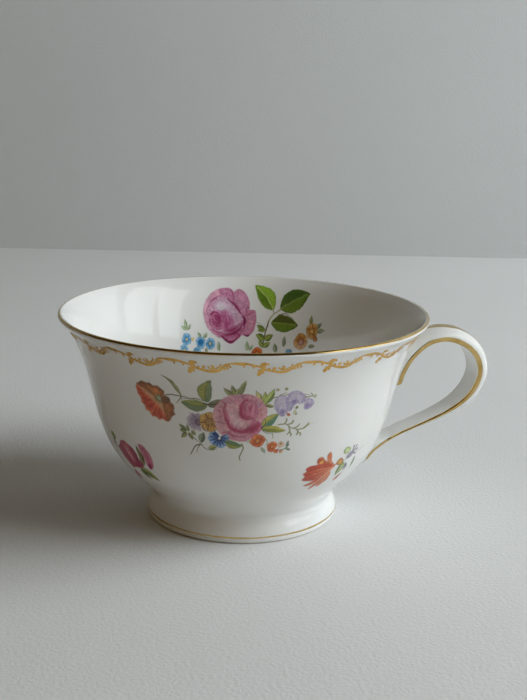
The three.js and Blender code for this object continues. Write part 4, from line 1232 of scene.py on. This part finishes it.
    # teal leaves and fern
    sheet.leaf((7.4, -1.9), (11.2, 1.7), 2.6, "bab45a", "5c8468", bend=0.25, vein="6c8a4c")
    sheet.leaf((7.4, -2.0), (13.3, -2.9), 1.9, "c0b84e", "8f9444", bend=0.1, vein="6a7640")
    sheet.stroke([(7.2, -1.9), (8.2, -0.6), (8.1, 0.2)], 0.4, "4e4f42", strength=0.8)
    sheet.stroke([(7.2, -2.0), (8.6, -3.2), (10.2, -3.6)], 0.25, "5c6a38")
    sheet.stroke([(10.0, -3.4), (10.3, -4.7)], 0.3, "8f8f58")
    sheet.stroke([(11.2, -1.2), (13.0, -1.0), (14.0, -1.6), (15.2, -2.4), (16.7, -2.8),
                  (18.2, -2.5), (19.2, -1.6)], 0.28, "8d8d60", end_width=0.3)
    for points in (
        [(12.6, -1.0), (13.2, -0.3), (13.2, 0.5)], [(13.6, -1.2), (14.7, -0.9), (14.9, -0.1)],
        [(15.0, -2.2), (16.2, -2.0), (16.6, -1.2)], [(17.6, -2.6), (18.6, -2.0), (19.0, -1.2)],
        [(14.0, -1.7), (14.4, -3.0), (13.7, -4.0)], [(14.2, -3.4), (14.9, -4.0), (14.7, -4.6)],
        [(15.8, -2.6), (16.4, -3.4), (16.2, -4.4)], [(16.3, -3.6), (17.1, -4.0), (17.0, -4.7)],
    ):
        sheet.stroke(points, 0.22, "96976c", end_width=0.3, belly=0.42)
    sheet.stroke([(18.9, -1.5), (20.2, -1.3), (21.6, -1.0)], 0.2, "cfc5a4", strength=0.7)

    # orange flowers at the lower right
    sheet.leaf((5.3, -5.6), (3.9, -5.4), 0.7, "c3caa4", "9aa386")
    sheet.leaf((7.6, -6.9), (8.6, -8.9), 0.8, "9aa68a", "6f7f6c")
    sheet.flower((6.6, -5.3), 1.85, 6, ORANGE, turn=0.4, heart=("cf8a48", "7c3014"))
    sheet.stroke([(8.4, -4.8), (9.0, -5.6), (8.7, -6.4)], 0.25, "8b875e")
    sheet.petal((12.0, -7.6), (10.9, -8.8), 1.1, *ORANGE)
    sheet.petal((12.2, -7.8), (12.9, -8.8), 1.0, "c98a58", "8f5230", "e3b083")
    sheet.flower((10.1, -7.0), 1.35, 5, ORANGE, turn=1.0, heart=("d29452", "8c3c1a"))
    sheet.dot((12.4, -6.5), 0.85, "e2bfa3", edge="c69375", reach=0.3)
    sheet.dot((12.3, -6.4), 0.35, "8f8b62")
    sheet.stroke([(12.6, -8.2), (13.8, -7.6), (14.5, -6.4)], 0.25, "7f8a70", end_width=0.35)
    sheet.leaf((13.6, -7.6), (15.0, -8.3), 0.7, "98a289", "6c7a66")
    sheet.leaf((13.8, -7.2), (14.2, -5.6), 0.7, "93a396", "667a70")


def paint_fan_sprig(sheet):
    """An orange bloom seen from the side, with buds on a thin stem."""
    sheet.stroke([(2.2, 0.9), (4.0, 1.2), (5.4, 2.2), (7.2, 2.8), (9.2, 3.2), (11.0, 4.0)], 0.25,
                 "8a8578")
    paint_petals(sheet, (
        ([(1.2, 1.0), (-0.4, 1.4), (-1.7, 3.2), (-1.9, 4.6), (-1.3, 5.4), (-0.6, 4.6), (-0.2, 2.8)],
         (1.6, 0.6), ("b85028", "c9602f", "d98a5c", "c0643c")),
        ([(0.6, 1.0), (-1.6, 1.4), (-3.0, 1.7), (-4.4, 2.6), (-4.6, 3.7), (-3.7, 4.4), (-2.4, 3.4)],
         (1.6, 0.6), ("b04a26", "c4602e", "cf7a3c", "a8482a")),
        ([(1.6, 0.8), (-1.2, 2.0), (-3.6, 2.3), (-6.4, 2.1), (-7.4, 1.5), (-7.0, 0.6), (-7.8, 0),
          (-7.1, -0.9), (-7.5, -1.8), (-6.5, -2.3), (-4.6, -2.8), (-1.9, -2.6), (0.2, -0.8)],
         (1.9, 0.7), ("e8a06c", "da7442", "cc582c", "be4a28", "ae4026")),
        ([(0.4, -0.6), (-2.2, -2.2), (-5.0, -3.4), (-6.2, -4.0), (-5.2, -4.4), (-2.6, -3.6)],
         (1.9, 0.7), ("e8a878", "da7c4c", "b85434")),
        ([(0.4, -0.8), (-1.6, -2.8), (-3.6, -4.8), (-3.8, -5.9), (-2.4, -5.2), (-0.6, -3.4)],
         (1.9, 0.7), ("e8a878", "dc8456", "ba5a3c")),
        ([(0.8, -0.6), (-0.6, -2.6), (-1.6, -4.8), (-0.9, -5.3), (0.2, -4.4), (1.1, -3.6),
          (1.2, -1.8)], (1.9, 0.7), ("ecb080", "de8a5a", "c06442")),
    ))
    for tip in ((-6.4, 1.2), (-6.6, -0.4), (-6.0, -1.9), (-4.4, -2.4)):
        sheet.stroke([(0.6, 0.4), tip], 0.14, "a03820", end_width=0.36, strength=0.55, soft=0.12)
    for tip in ((-4.2, 0.6), (-4.4, -0.8), (-3.6, -1.9), (-2.2, -2.4), (-3.0, -4.0), (-1.0, -3.6)):
        sheet.stroke([(1.3, 0.4), tip], 0.2, "e6a472", end_width=0.2, strength=0.75, soft=0.1)
    sheet.dot((-3.2, 2.8), 0.6, "d69a48", edge="bc6c36", reach=0.4, soft=0.16)
    sheet.stroke([(0.4, 1.1), (2.2, 1.1), (3.6, 1.6)], 0.4, "cf7e58", end_width=0.2)
    sheet.shape([(1.8, 1.0), (2.0, 2.2), (3.0, 2.6), (4.0, 1.8), (4.2, 0.6), (3.0, 0.4)], "b9823f",
                edge="96502c", reach=0.5, light="cc9c50", spot=(3.2, 1.4), size=0.6)
    sheet.leaf((4.6, 1.0), (3.4, -3.0), 2.3, "a3b272", "6f8450", vein="c0c994")
    sheet.petal((5.3, 0.9), (6.2, -1.9), 1.2, "857c8c", "5f5874", "aca4b0")
    sheet.petal((6.2, -2.4), (4.2, -4.9), 1.3, "b96a52", "84382c", "d99c86")
    sheet.shape([(3.0, 4.7), (3.6, 5.4), (4.8, 5.4), (5.6, 4.6), (5.0, 3.7), (3.8, 3.6)], "a6b87c",
                edge="7d9458", reach=0.5, light="c3cf9c", spot=(4.4, 4.6), size=0.6)
    sheet.shape([(4.8, 2.2), (5.2, 3.4), (6.3, 3.8), (7.2, 2.8), (6.2, 1.8)], "9b93a0",
                edge="847c90", reach=0.5, soft=0.2)
    for tip in ((6.6, 5.6), (7.8, 5.2), (8.4, 4.0), (8.2, 2.6)):
        sheet.stroke([(6.6, 3.4), tip], 0.25, "85808c", end_width=0.5, soft=0.14)
    sheet.leaf((8.6, 1.8), (8.8, -2.0), 0.9, "98aa84", "7d9068")


def paint_bloom_sprig(sheet):
    """A magenta bloom with a curled petal on its right, between leaves."""
    sheet.leaf((1.0, -2.2), (6.9, -4.8), 2.3, "93994c", "4e6330", bend=0.5)
    sheet.leaf((0.8, -2.8), (3.6, -5.2), 1.2, "6f7f42", "44562c")
    sheet.stroke([(-6.4, 4.6), (-7.4, 2.4), (-7.4, 0), (-8.2, -3.0)], 0.45, "585b36")
    sheet.dot((-6.4, 4.9), 1.1, "8f9a5c", edge="566436", reach=0.5)
    sheet.stroke([(-6.6, 4.2), (-6.8, 2.6), (-5.6, 1.6)], 0.4, "5b6438", end_width=0.3)
    paint_petals(sheet, (
        ([(-2.8, -3.8), (-2.0, -5.0), (-2.4, -6.8), (-4.6, -6.4), (-4.2, -5.0)], (-2.0, -3.0),
         ("8a2c54", "ae5078", "bb6c8c")),
        ([(-4.2, 3.4), (-3.0, 4.6), (-1.4, 5.0), (0.4, 4.3), (1.8, 3.3), (2.6, 1.2), (3.6, -0.2),
          (2.8, -1.6), (1.1, -2.3), (-1.0, -2.5), (-2.6, -3.2), (-4.0, -1.7), (-5.0, 0),
          (-5.6, 1.8)],
         (1.2, -2.2), ("8c1e4c", "a43060", "b4486e", "b95c76", "a04a5c")),
        ([(-2.8, 4.0), (-1.6, 4.6), (-0.4, 3.6), (0.2, 1.8), (0.4, 0), (-0.6, -1.0), (-1.8, 0.6),
          (-2.6, 2.4)], (0.8, -2.0), ("a6365e", "c66a80", "d08c92", "b9546e")),
        ([(0.4, 4.2), (1.7, 3.3), (2.4, 1.4), (3.3, 0), (2.4, -1.4), (1.2, -0.4), (0.9, 1.6)],
         (1.4, -2.2), ("82204a", "99305c", "a44a64", "8a3a4c")),
        ([(4.1, 5.6), (5.4, 5.6), (6.9, 4.3), (7.7, 2.5), (7.6, 0.8), (7.1, -0.4), (5.8, -1.4),
          (5.0, -0.2), (4.8, 1.8), (4.3, 3.8)],
         (5.6, -1.0), ("7a1440", "a02a5c", "b85a7c", "c48492")),
    ))
    sheet.leaf((4.0, -0.6), (3.0, 5.0), 1.7, "7c7a44", "544a2a", bend=-0.3)
    for tip in ((-4.0, 2.6), (-3.2, 0.6), (-2.6, -1.4), (2.0, 1.6)):
        sheet.stroke([(0.8, -1.8), tip], 0.2, "7e1c46", end_width=0.4, strength=0.7, soft=0.13)
    for tip in ((-1.8, 3.2), (-0.8, 1.8)):
        sheet.stroke([(0.2, -0.8), tip], 0.2, "dca0a2", end_width=0.35, strength=0.7, soft=0.13)
    sheet.stroke([(5.4, 4.8), (6.4, 3.0), (6.4, 0.8)], 0.3, "b44a70", soft=0.14)
    sheet.dot((6.0, -0.4), 0.6, "80153f", soft=0.2)


def paint_inner_rose(sheet):
    paint_petals(sheet, (
        ([(-14.9, 3.3), (-13.6, 5.6), (-12.3, 7.0), (-10.4, 8.0), (-8.3, 8.4), (-6.4, 8.1),
          (-5.2, 7.1), (-4.0, 8.1), (-1.6, 6.5), (-0.7, 4.2), (-1.0, 2.7), (1.1, 2.3),
          (1.4, -1.9), (0, -4.4), (-1.8, -5.1), (-3.0, -5.0), (-6.7, -7.3), (-9.8, -5.6),
          (-12.6, -4.2), (-14.7, -1.4)],
         (-8.6, 0), ("a8487a", "b05c84", "bd7898", "cb93ac")),
        ([(-14.9, 3.2), (-13.4, 5.6), (-11.6, 7.4), (-9.6, 8.2), (-8.4, 7.4), (-10.6, 6.0),
          (-12.6, 4.0), (-13.4, 1.6), (-14.4, 1.4)],
         (-8.6, 1.6), ("a85480", "c07498", "cc8ca8", "d6a6b8")),
        ([(-10.0, 8.1), (-8.0, 8.5), (-6.3, 8.1), (-5.0, 6.8), (-5.2, 5.0), (-7.2, 5.8),
          (-9.2, 6.4)], (-7.4, 2.4), ("8e2e60", "a4487a", "b86c92", "c284a2")),
        ([(-5.5, 6.9), (-4.1, 8.1), (-2.2, 7.2), (-0.8, 4.6), (-0.9, 2.4), (-2.4, 1.2), (-3.9, 3.2),
          (-5.4, 5.4)], (-4.6, 1.4), ("8c2c5c", "b05e88", "cb92ac", "c07e9c")),
        ([(-1.6, 2.0), (0.4, 2.5), (1.4, 1.2), (1.4, -1.9), (0.2, -4.3), (-1.7, -5.1), (-3.1, -4.3),
          (-2.2, -2.4), (-1.6, -0.6), (-2.4, 0.8)],
         (-4.6, -0.6), ("983464", "b8668c", "cb88a4", "c07896")),
        ([(-14.9, 1.6), (-14.6, -1.4), (-12.8, -4.0), (-10.0, -5.5), (-8.8, -4.4), (-11.2, -3.2),
          (-12.8, -1.0), (-13.4, 1.4)],
         (-9.6, 0.4), ("a04a78", "b26890", "bf82a0", "cf9fb4")),
        ([(-10.0, -4.7), (-8.4, -6.4), (-6.6, -7.3), (-4.6, -6.4), (-3.2, -4.6), (-5.6, -4.2),
          (-8.0, -4.2)], (-7.0, -2.2), ("94285a", "b0507c", "c07898", "9c3c66")),
        # the pale dome and the crimson that gathers under it
        ([(-13.2, 3.6), (-11.8, 5.4), (-9.6, 6.3), (-7.4, 5.9), (-5.4, 4.4), (-3.8, 2.4),
          (-2.7, -0.2), (-3.4, -2.6), (-5.4, -4.0), (-8.4, -4.5), (-11.0, -3.9), (-12.9, -1.8),
          (-13.5, 1.0)],
         (-8.2, -2.2), ("a4406c", "b0567e", "b97298", "c796b0", "d0b2c2", "bf88a4")),
    ))
    sheet.drape([(-12.2, 3.6), (-10.9, 5.1), (-9.0, 5.6), (-7.2, 4.9), (-5.4, 3.0), (-4.4, 0.8),
                 (-5.2, -0.6), (-6.6, 1.4), (-8.4, 2.2), (-10.4, 2.3)], (-9.4, 2.6),
                ("d8d2d4", "d6ced2", "cdb2c4", "c294b0"), soft=0.5)
    for points, width, tone, soft in (
        ([(-12.9, 4.4), (-11.6, 5.6), (-10.0, 6.3)], 0.22, "a04672", 0.16),
        ([(-7.4, 5.6), (-5.8, 4.4), (-4.4, 2.8), (-3.1, 1.0)], 0.35, "8a2858", 0.16),
        ([(-3.1, 0.8), (-2.5, 0.2), (-2.1, -0.8), (-2.6, -2.0)], 0.4, "7c2350", 0.13),
        ([(-2.1, -4.6), (-1.3, -5.0), (-0.4, -4.6)], 0.3, "782450", 0.12),
        ([(-9.6, -5.0), (-8.2, -6.3), (-6.6, -7.0), (-4.8, -6.2)], 0.3, "7a2450", 0.12),
        ([(-10.2, -4.3), (-7.8, -4.6), (-5.4, -4.1), (-3.7, -3.0), (-2.9, -1.2)], 0.5, "902c58", 0.32),
        ([(-9.2, -3.6), (-7.0, -3.5), (-5.0, -2.8), (-3.7, -1.6)], 0.7, "a03e6a", 0.45),
        ([(-8.8, -5.3), (-7.0, -5.6), (-5.0, -5.2)], 0.3, "bb6c92", 0.12),
    ):
        sheet.stroke(points, width, tone, end_width=width * 0.7, belly=width * 2.1, soft=soft,
                     strength=0.9)
    sheet.stroke([(-13.0, -2.8), (-11.0, -4.2), (-8.6, -4.6)], 0.6, "bb7294", belly=1.0, soft=0.3)
    for points in (
        [(-6.2, 7.6), (-5.6, 6.4), (-5.6, 5.2)], [(-1.4, 1.7), (-1.7, 2.6), (-1.0, 3.6)],
        [(-13.2, 4.0), (-13.9, 2.4), (-13.4, 0.6)], [(-2.0, 0.9), (-1.0, 1.2), (0.2, 1.8)],
        [(-3.4, -4.2), (-2.4, -3.0), (-2.1, -1.6)],
    ):
        sheet.stroke(points, 0.35, "90325e", end_width=0.2, soft=0.17, strength=0.8)
    for points, width in (
        ([(-3.6, 3.6), (-2.9, 5.0), (-3.2, 6.2)], 0.9), ([(-8.6, 7.4), (-7.2, 7.5), (-6.2, 6.9)], 0.5),
        ([(-0.4, 0.9), (0.2, -0.8), (-0.4, -2.8)], 0.6), ([(-12.8, 5.4), (-11.4, 6.9), (-9.9, 7.6)], 0.5),
        ([(-14.2, 0.2), (-13.4, -2.2), (-11.6, -3.8)], 0.5),
        ([(-7.6, -6.2), (-6.2, -6.2), (-5, -5.6)], 0.4),
    ):
        sheet.stroke(points, width, "d6a2b6", end_width=width * 0.5, soft=0.25, strength=0.6)
    # the heart and the strokes that turn round it
    sheet.drape([(-13.3, 0.6), (-12.4, 1.9), (-10.9, 2.2), (-9.6, 1.4), (-8.6, 0), (-8.7, -1.8),
                 (-10.0, -3.0), (-11.8, -2.9), (-13.1, -1.4)], (-10.5, -0.2),
                ("a04470", "ac5480", "bc6e90", "c07898"), soft=0.3, ragged=0.28)
    for points, width, tone in (
        ([(-13.0, 1.2), (-11.9, 1.9), (-10.5, 1.3), (-9.8, 0.2)], 0.6, "8c305e"),
        ([(-11.6, 0.9), (-10.6, 0.6), (-10.0, -0.6), (-10.6, -1.4)], 0.6, "963664"),
        ([(-9.4, 1.0), (-8.8, 0), (-8.7, -1.4)], 0.35, "9c3e6a"),
        ([(-8.3, 0.9), (-7.8, -0.4), (-7.9, -1.9)], 0.35, "a04672"),
        ([(-7.2, 0.9), (-6.8, -0.6), (-7.1, -2.2)], 0.3, "a04a78"),
        ([(-6.2, 0.8), (-5.9, -0.8), (-6.3, -2.2)], 0.28, "a85a86"),
        ([(-13.3, 0), (-13.0, -1.8), (-11.4, -2.9), (-9.2, -2.9)], 0.3, "9a3c6a"),
        ([(-12.4, -0.2), (-12.0, -1.4), (-10.8, -2.1), (-9.2, -1.9)], 0.25, "983a68"),
        ([(-12.6, -3.0), (-11.0, -3.9), (-9.6, -3.8)], 0.28, "a04672"),
        ([(-12.8, -0.8), (-12.5, -2.2), (-11.2, -3.2)], 0.25, "cc95b0"),
        ([(-11.9, 0.4), (-11.4, -0.6), (-11.0, -0.9)], 0.22, "c487a4"),
        ([(-9.2, 0.2), (-9.0, -1.2), (-9.8, -2.2)], 0.22, "c286a6"),
    ):
        sheet.stroke(points, width, tone, end_width=width * 0.6, soft=0.14, strength=0.85)


def paint_inner_spray(sheet):
    # forget-me-nots and small greens at the left
    for base, tip, width in (
        ((-21.2, -2.8), (-21.3, 0.6), 1.1), ((-21.2, -2.8), (-22.8, -1.4), 0.9),
        ((-21.0, -2.8), (-19.4, -1.2), 0.9), ((-16.2, -5.4), (-17.6, -3.6), 1.0),
        ((-15.8, -5.4), (-14.2, -3.9), 1.0), ((-10.6, -9.6), (-10.6, -6.6), 1.2),
        ((-1.2, -9.6), (-1.2, -6.6), 1.3), ((-0.6, -9.4), (0.8, -7.6), 1.0),
    ):
        sheet.leaf(base, tip, width, "a9b994", "7f9470")
    for centre, size, turn in (
        ((-21.4, -5.4), 1.75, 0.3), ((-16.7, -6.8), 1.7, 0.9), ((-13.4, -7.2), 1.7, 0.1),
        ((-22.6, -8.4), 1.5, 0.6), ((-18.2, -9.4), 1.5, 0.2),
    ):
        sheet.flower(centre, size, 5, SKY, turn=turn, heart=("cdbf8c", "2f5f8c"), wide=1.1)
    sheet.dot((-19.2, -5.6), 0.6, "d9c894", edge="b5a05c", reach=0.3)
    sheet.dot((-16.6, -6.6), 0.9, "2a6ca0", soft=0.25)
    sheet.leaf((-15.0, -8.4), (-14.8, -10.2), 1.0, *GREY_GREEN)

    paint_inner_rose(sheet)

    # rose leaves and stem
    sheet.stroke([(9.0, 3.0), (7.0, 1.7), (5.5, -0.5), (4.7, -3.2), (4.4, -5.2), (4.2, -8.4)], 0.35,
                 "6a6440", end_width=0.5)
    sheet.stroke([(6.9, 2.9), (6.9, 1.8)], 0.3, "5f6238")
    sheet.stroke([(5.6, -0.6), (6.6, 1.2), (8.2, 2.5), (10.0, 2.7), (11.8, 2.1)], 0.3, "c5c58c")
    sheet.leaf((6.9, 2.7), (0.9, 9.2), 4.9, "5c7d26", "8fb23c", bend=-0.5, vein="c3d47a",
               teeth=0.05)
    sheet.leaf((8.9, 3.0), (17.3, 8.1), 6.2, "47632a", "66852e", bend=0.2, vein="8ba653",
               teeth=0.06)
    sheet.leaf((6.3, -0.9), (15.2, -1.2), 5.1, "4c5a26", "64842c", bend=0.1, vein="90a850",
               teeth=0.05)
    sheet.stroke([(8.2, 1.3), (10.8, 1.9), (13.4, 0.6)], 0.35, "5a4326", strength=0.6)
    for base, tip, width in (
        ((4.5, -3.2), (1.8, -2.0), 1.5), ((4.4, -3.4), (2.0, -3.4), 1.1),
        ((4.4, -6.0), (1.7, -4.5), 2.0), ((4.5, -6.0), (7.2, -4.4), 2.0),
        ((4.3, -8.2), (2.6, -6.2), 1.6), ((4.4, -8.2), (6.4, -6.6), 1.6),
    ):
        sheet.leaf(base, tip, width, "8f9c4a", "5f7a38")
    sheet.stroke([(1.4, -1.0), (3.0, -1.6), (4.4, -2.2)], 0.2, "8b8466")

    # orange flowers and greens at the right
    for base, tip, width, tones in (
        ((11.0, -7.6), (11.2, -4.4), 1.3, GREY_GREEN), ((8.4, -9.6), (8.0, -6.8), 1.5, GREY_GREEN),
        ((19.4, -0.6), (19.2, 2.2), 1.2, OLIVE), ((21.4, -1.4), (23.2, 0.4), 1.2, GREY_GREEN),
        ((21.8, -2.0), (24.6, -1.6), 1.2, GREY_GREEN), ((19.6, -6.8), (22.0, -6.2), 1.2, OLIVE),
    ):
        sheet.leaf(base, tip, width, *tones)
    sheet.flower((16.8, -5.6), 2.5, 6, ("bd7a3e", "7c4218", "d8a862"), turn=0.5,
                 heart=("cf9a86", "6e3214"))
    sheet.flower((20.2, -2.2), 2.2, 5, ("c48a48", "85501f", "dcb473"), turn=1.2,
                 heart=("e0b46a", "7a4018"))
    sheet.petal((20.8, -2.8), (22.2, -5.0), 1.6, "b87436", "7c4218", "d09a58")
    sheet.flower((2.2, -10.2), 2.0, 6, ORANGE, turn=0.5, heart=("cf8a48", "7c3014"))
    sheet.flower((13.0, -9.6), 1.5, 5, SKY, turn=0.4, heart=("e8d27e", "4c6f8e"))


spray = Transfer(25, 11.4, seed=11)
paint_spray(spray)
fan_sprig = Transfer(11, 7, seed=12)
paint_fan_sprig(fan_sprig)
bloom_sprig = Transfer(9.5, 7.2, seed=13)
paint_bloom_sprig(bloom_sprig)
inner_spray = Transfer(26, 12, seed=14)
paint_inner_spray(inner_spray)

SPRAY_TURN = 104
SPRAY_HEIGHT = 37.9
SPRIG_HEIGHT = 22
LEFT_SPRIG_TURN = 148
RIGHT_SPRIG_TURN = 64
INNER_TURN = 77
INNER_HEIGHT = 43.6
spray.place("painted_front_spray", "front_spray_transfer", -SPRAY_TURN, SPRAY_HEIGHT)
spray.place("painted_back_spray", "back_spray_transfer", SPRAY_TURN, SPRAY_HEIGHT)
inner_spray.place(
    "painted_inner_spray", "interior_spray_transfer", INNER_TURN, INNER_HEIGHT, inside=True
)
bloom_sprig.place(
    "painted_front_left_sprig", "front_left_sprig_transfer", -LEFT_SPRIG_TURN, SPRIG_HEIGHT
)
fan_sprig.place(
    "painted_front_right_sprig", "front_right_sprig_transfer", -RIGHT_SPRIG_TURN, SPRIG_HEIGHT
)
bloom_sprig.place(
    "painted_back_left_sprig", "back_left_sprig_transfer", LEFT_SPRIG_TURN, SPRIG_HEIGHT
)
fan_sprig.place(
    "painted_back_right_sprig", "back_right_sprig_transfer", RIGHT_SPRIG_TURN, SPRIG_HEIGHT
)

# ---------- camera ----------

CAMERA_HEADING = math.radians(78.915)
CAMERA_PITCH = math.radians(14.145)
CAMERA_ROLL = math.radians(1.167)
CAMERA_AZIMUTH = math.radians(-100)
CAMERA_DISTANCE = 0.2778
CAMERA_HEIGHT = 0.1146
CAMERA_LENS = 55.03
SENSOR_WIDTH = 36

ahead = Vector((math.cos(CAMERA_HEADING), math.sin(CAMERA_HEADING), 0))
right = Vector((ahead.y, -ahead.x, 0))
up = Vector((0, 0, 1))


def add_camera():
    data = bpy.data.cameras.new("camera")
    data.lens = CAMERA_LENS
    data.sensor_width = SENSOR_WIDTH
    data.clip_start = 0.01
    thing = bpy.data.objects.new("camera", data)
    bpy.context.scene.collection.objects.link(thing)
    look = ahead * math.cos(CAMERA_PITCH) - up * math.sin(CAMERA_PITCH)
    top = right.cross(look)
    rolled_right = right * math.cos(CAMERA_ROLL) + top * math.sin(CAMERA_ROLL)
    rolled_top = top * math.cos(CAMERA_ROLL) - right * math.sin(CAMERA_ROLL)
    axes = Matrix((rolled_right, rolled_top, -look)).transposed().to_4x4()
    spot = Vector(
        (
            AXIS_X + CAMERA_DISTANCE * math.cos(CAMERA_AZIMUTH),
            CAMERA_DISTANCE * math.sin(CAMERA_AZIMUTH),
            CAMERA_HEIGHT,
        )
    )
    thing.matrix_world = Matrix.Translation(spot) @ axes
    bpy.context.scene.camera = thing


add_camera()

# ---------- table and wall ----------

centre = Vector((AXIS_X, 0, 0))
TABLE_BACK = 0.449
TABLE_FRONT = 1.6
WALL_HEIGHT = 0.7


def flat(name, corners, material):
    mesh = bpy.data.meshes.new(name)
    mesh.from_pydata([tuple(c) for c in corners], [], [(0, 1, 2, 3)])
    mesh.materials.append(material)
    thing = bpy.data.objects.new(name, mesh)
    bpy.context.scene.collection.objects.link(thing)


def stage_material(name, low, high, rough):
    material, tree, shader, place = nodes_of(name)
    tone = noise(tree, place, 6, 3.0)
    tree.links.new(blend(tree, ramp(tree, tone, 0, 1), low, high), shader.inputs["Base Color"])
    shader.inputs["Roughness"].default_value = rough
    shader.inputs["Specular IOR Level"].default_value = 0.25
    bump(tree, shader, [(noise(tree, place, 1100, 2.0), 0.00012)])
    return material


table = stage_material("pale_table", (0.71, 0.715, 0.71), (0.74, 0.745, 0.74), 0.75)
wall = stage_material("pale_wall", (0.56, 0.575, 0.575), (0.58, 0.595, 0.595), 0.9)
back = centre + ahead * TABLE_BACK
front = centre - ahead * TABLE_FRONT
aside = right * 2
flat("table_top", [front - aside, front + aside, back + aside, back - aside], table)
far = back - ahead * 0.001 - up * 0.002
rise = up * WALL_HEIGHT
flat("back_wall", [far - aside, far + aside, far + aside + rise, far - aside + rise], wall)

# ---------- light ----------


def area(name, spot, aim, width, height, watts, colour):
    data = bpy.data.lights.new(name, "AREA")
    data.shape = "RECTANGLE"
    data.size, data.size_y = width, height
    data.energy = watts
    data.color = colour
    thing = bpy.data.objects.new(name, data)
    bpy.context.scene.collection.objects.link(thing)
    thing.location = spot
    thing.rotation_mode = "QUATERNION"
    thing.rotation_quaternion = (aim - spot).to_track_quat("-Z", "Y")
    thing.visible_camera = False
    return thing


cup_middle = centre + up * 0.03
DAYLIGHT = (0.925, 0.985, 1.02)
window = centre + right * 0.95 - ahead * 0.17 + up * 0.63
daylight = area("daylight", window, cup_middle, 0.75, 0.9, 10.6, DAYLIGHT)
daylight.visible_glossy = False
for name, offset, width, watts in (("near_pane", -0.27, 0.38, 1.9), ("far_pane", 0.22, 0.5, 2.1)):
    area(name, window + ahead * offset, cup_middle, width, 0.95, watts, DAYLIGHT)
room_side = centre - ahead * 1.1 - right * 0.5 + up * 0.45
area("room_light", room_side, cup_middle, 1.0, 1.0, 0.55, (1.0, 0.56, 0.16))

world = bpy.data.worlds.new("room")
bpy.context.scene.world = world
world.use_nodes = True
sky = world.node_tree.nodes["Background"]
sky.inputs["Color"].default_value = (0.68, 0.46, 0.16, 1)
sky.inputs["Strength"].default_value = 0.078
bpy.context.scene.view_settings.view_transform = "Standard"
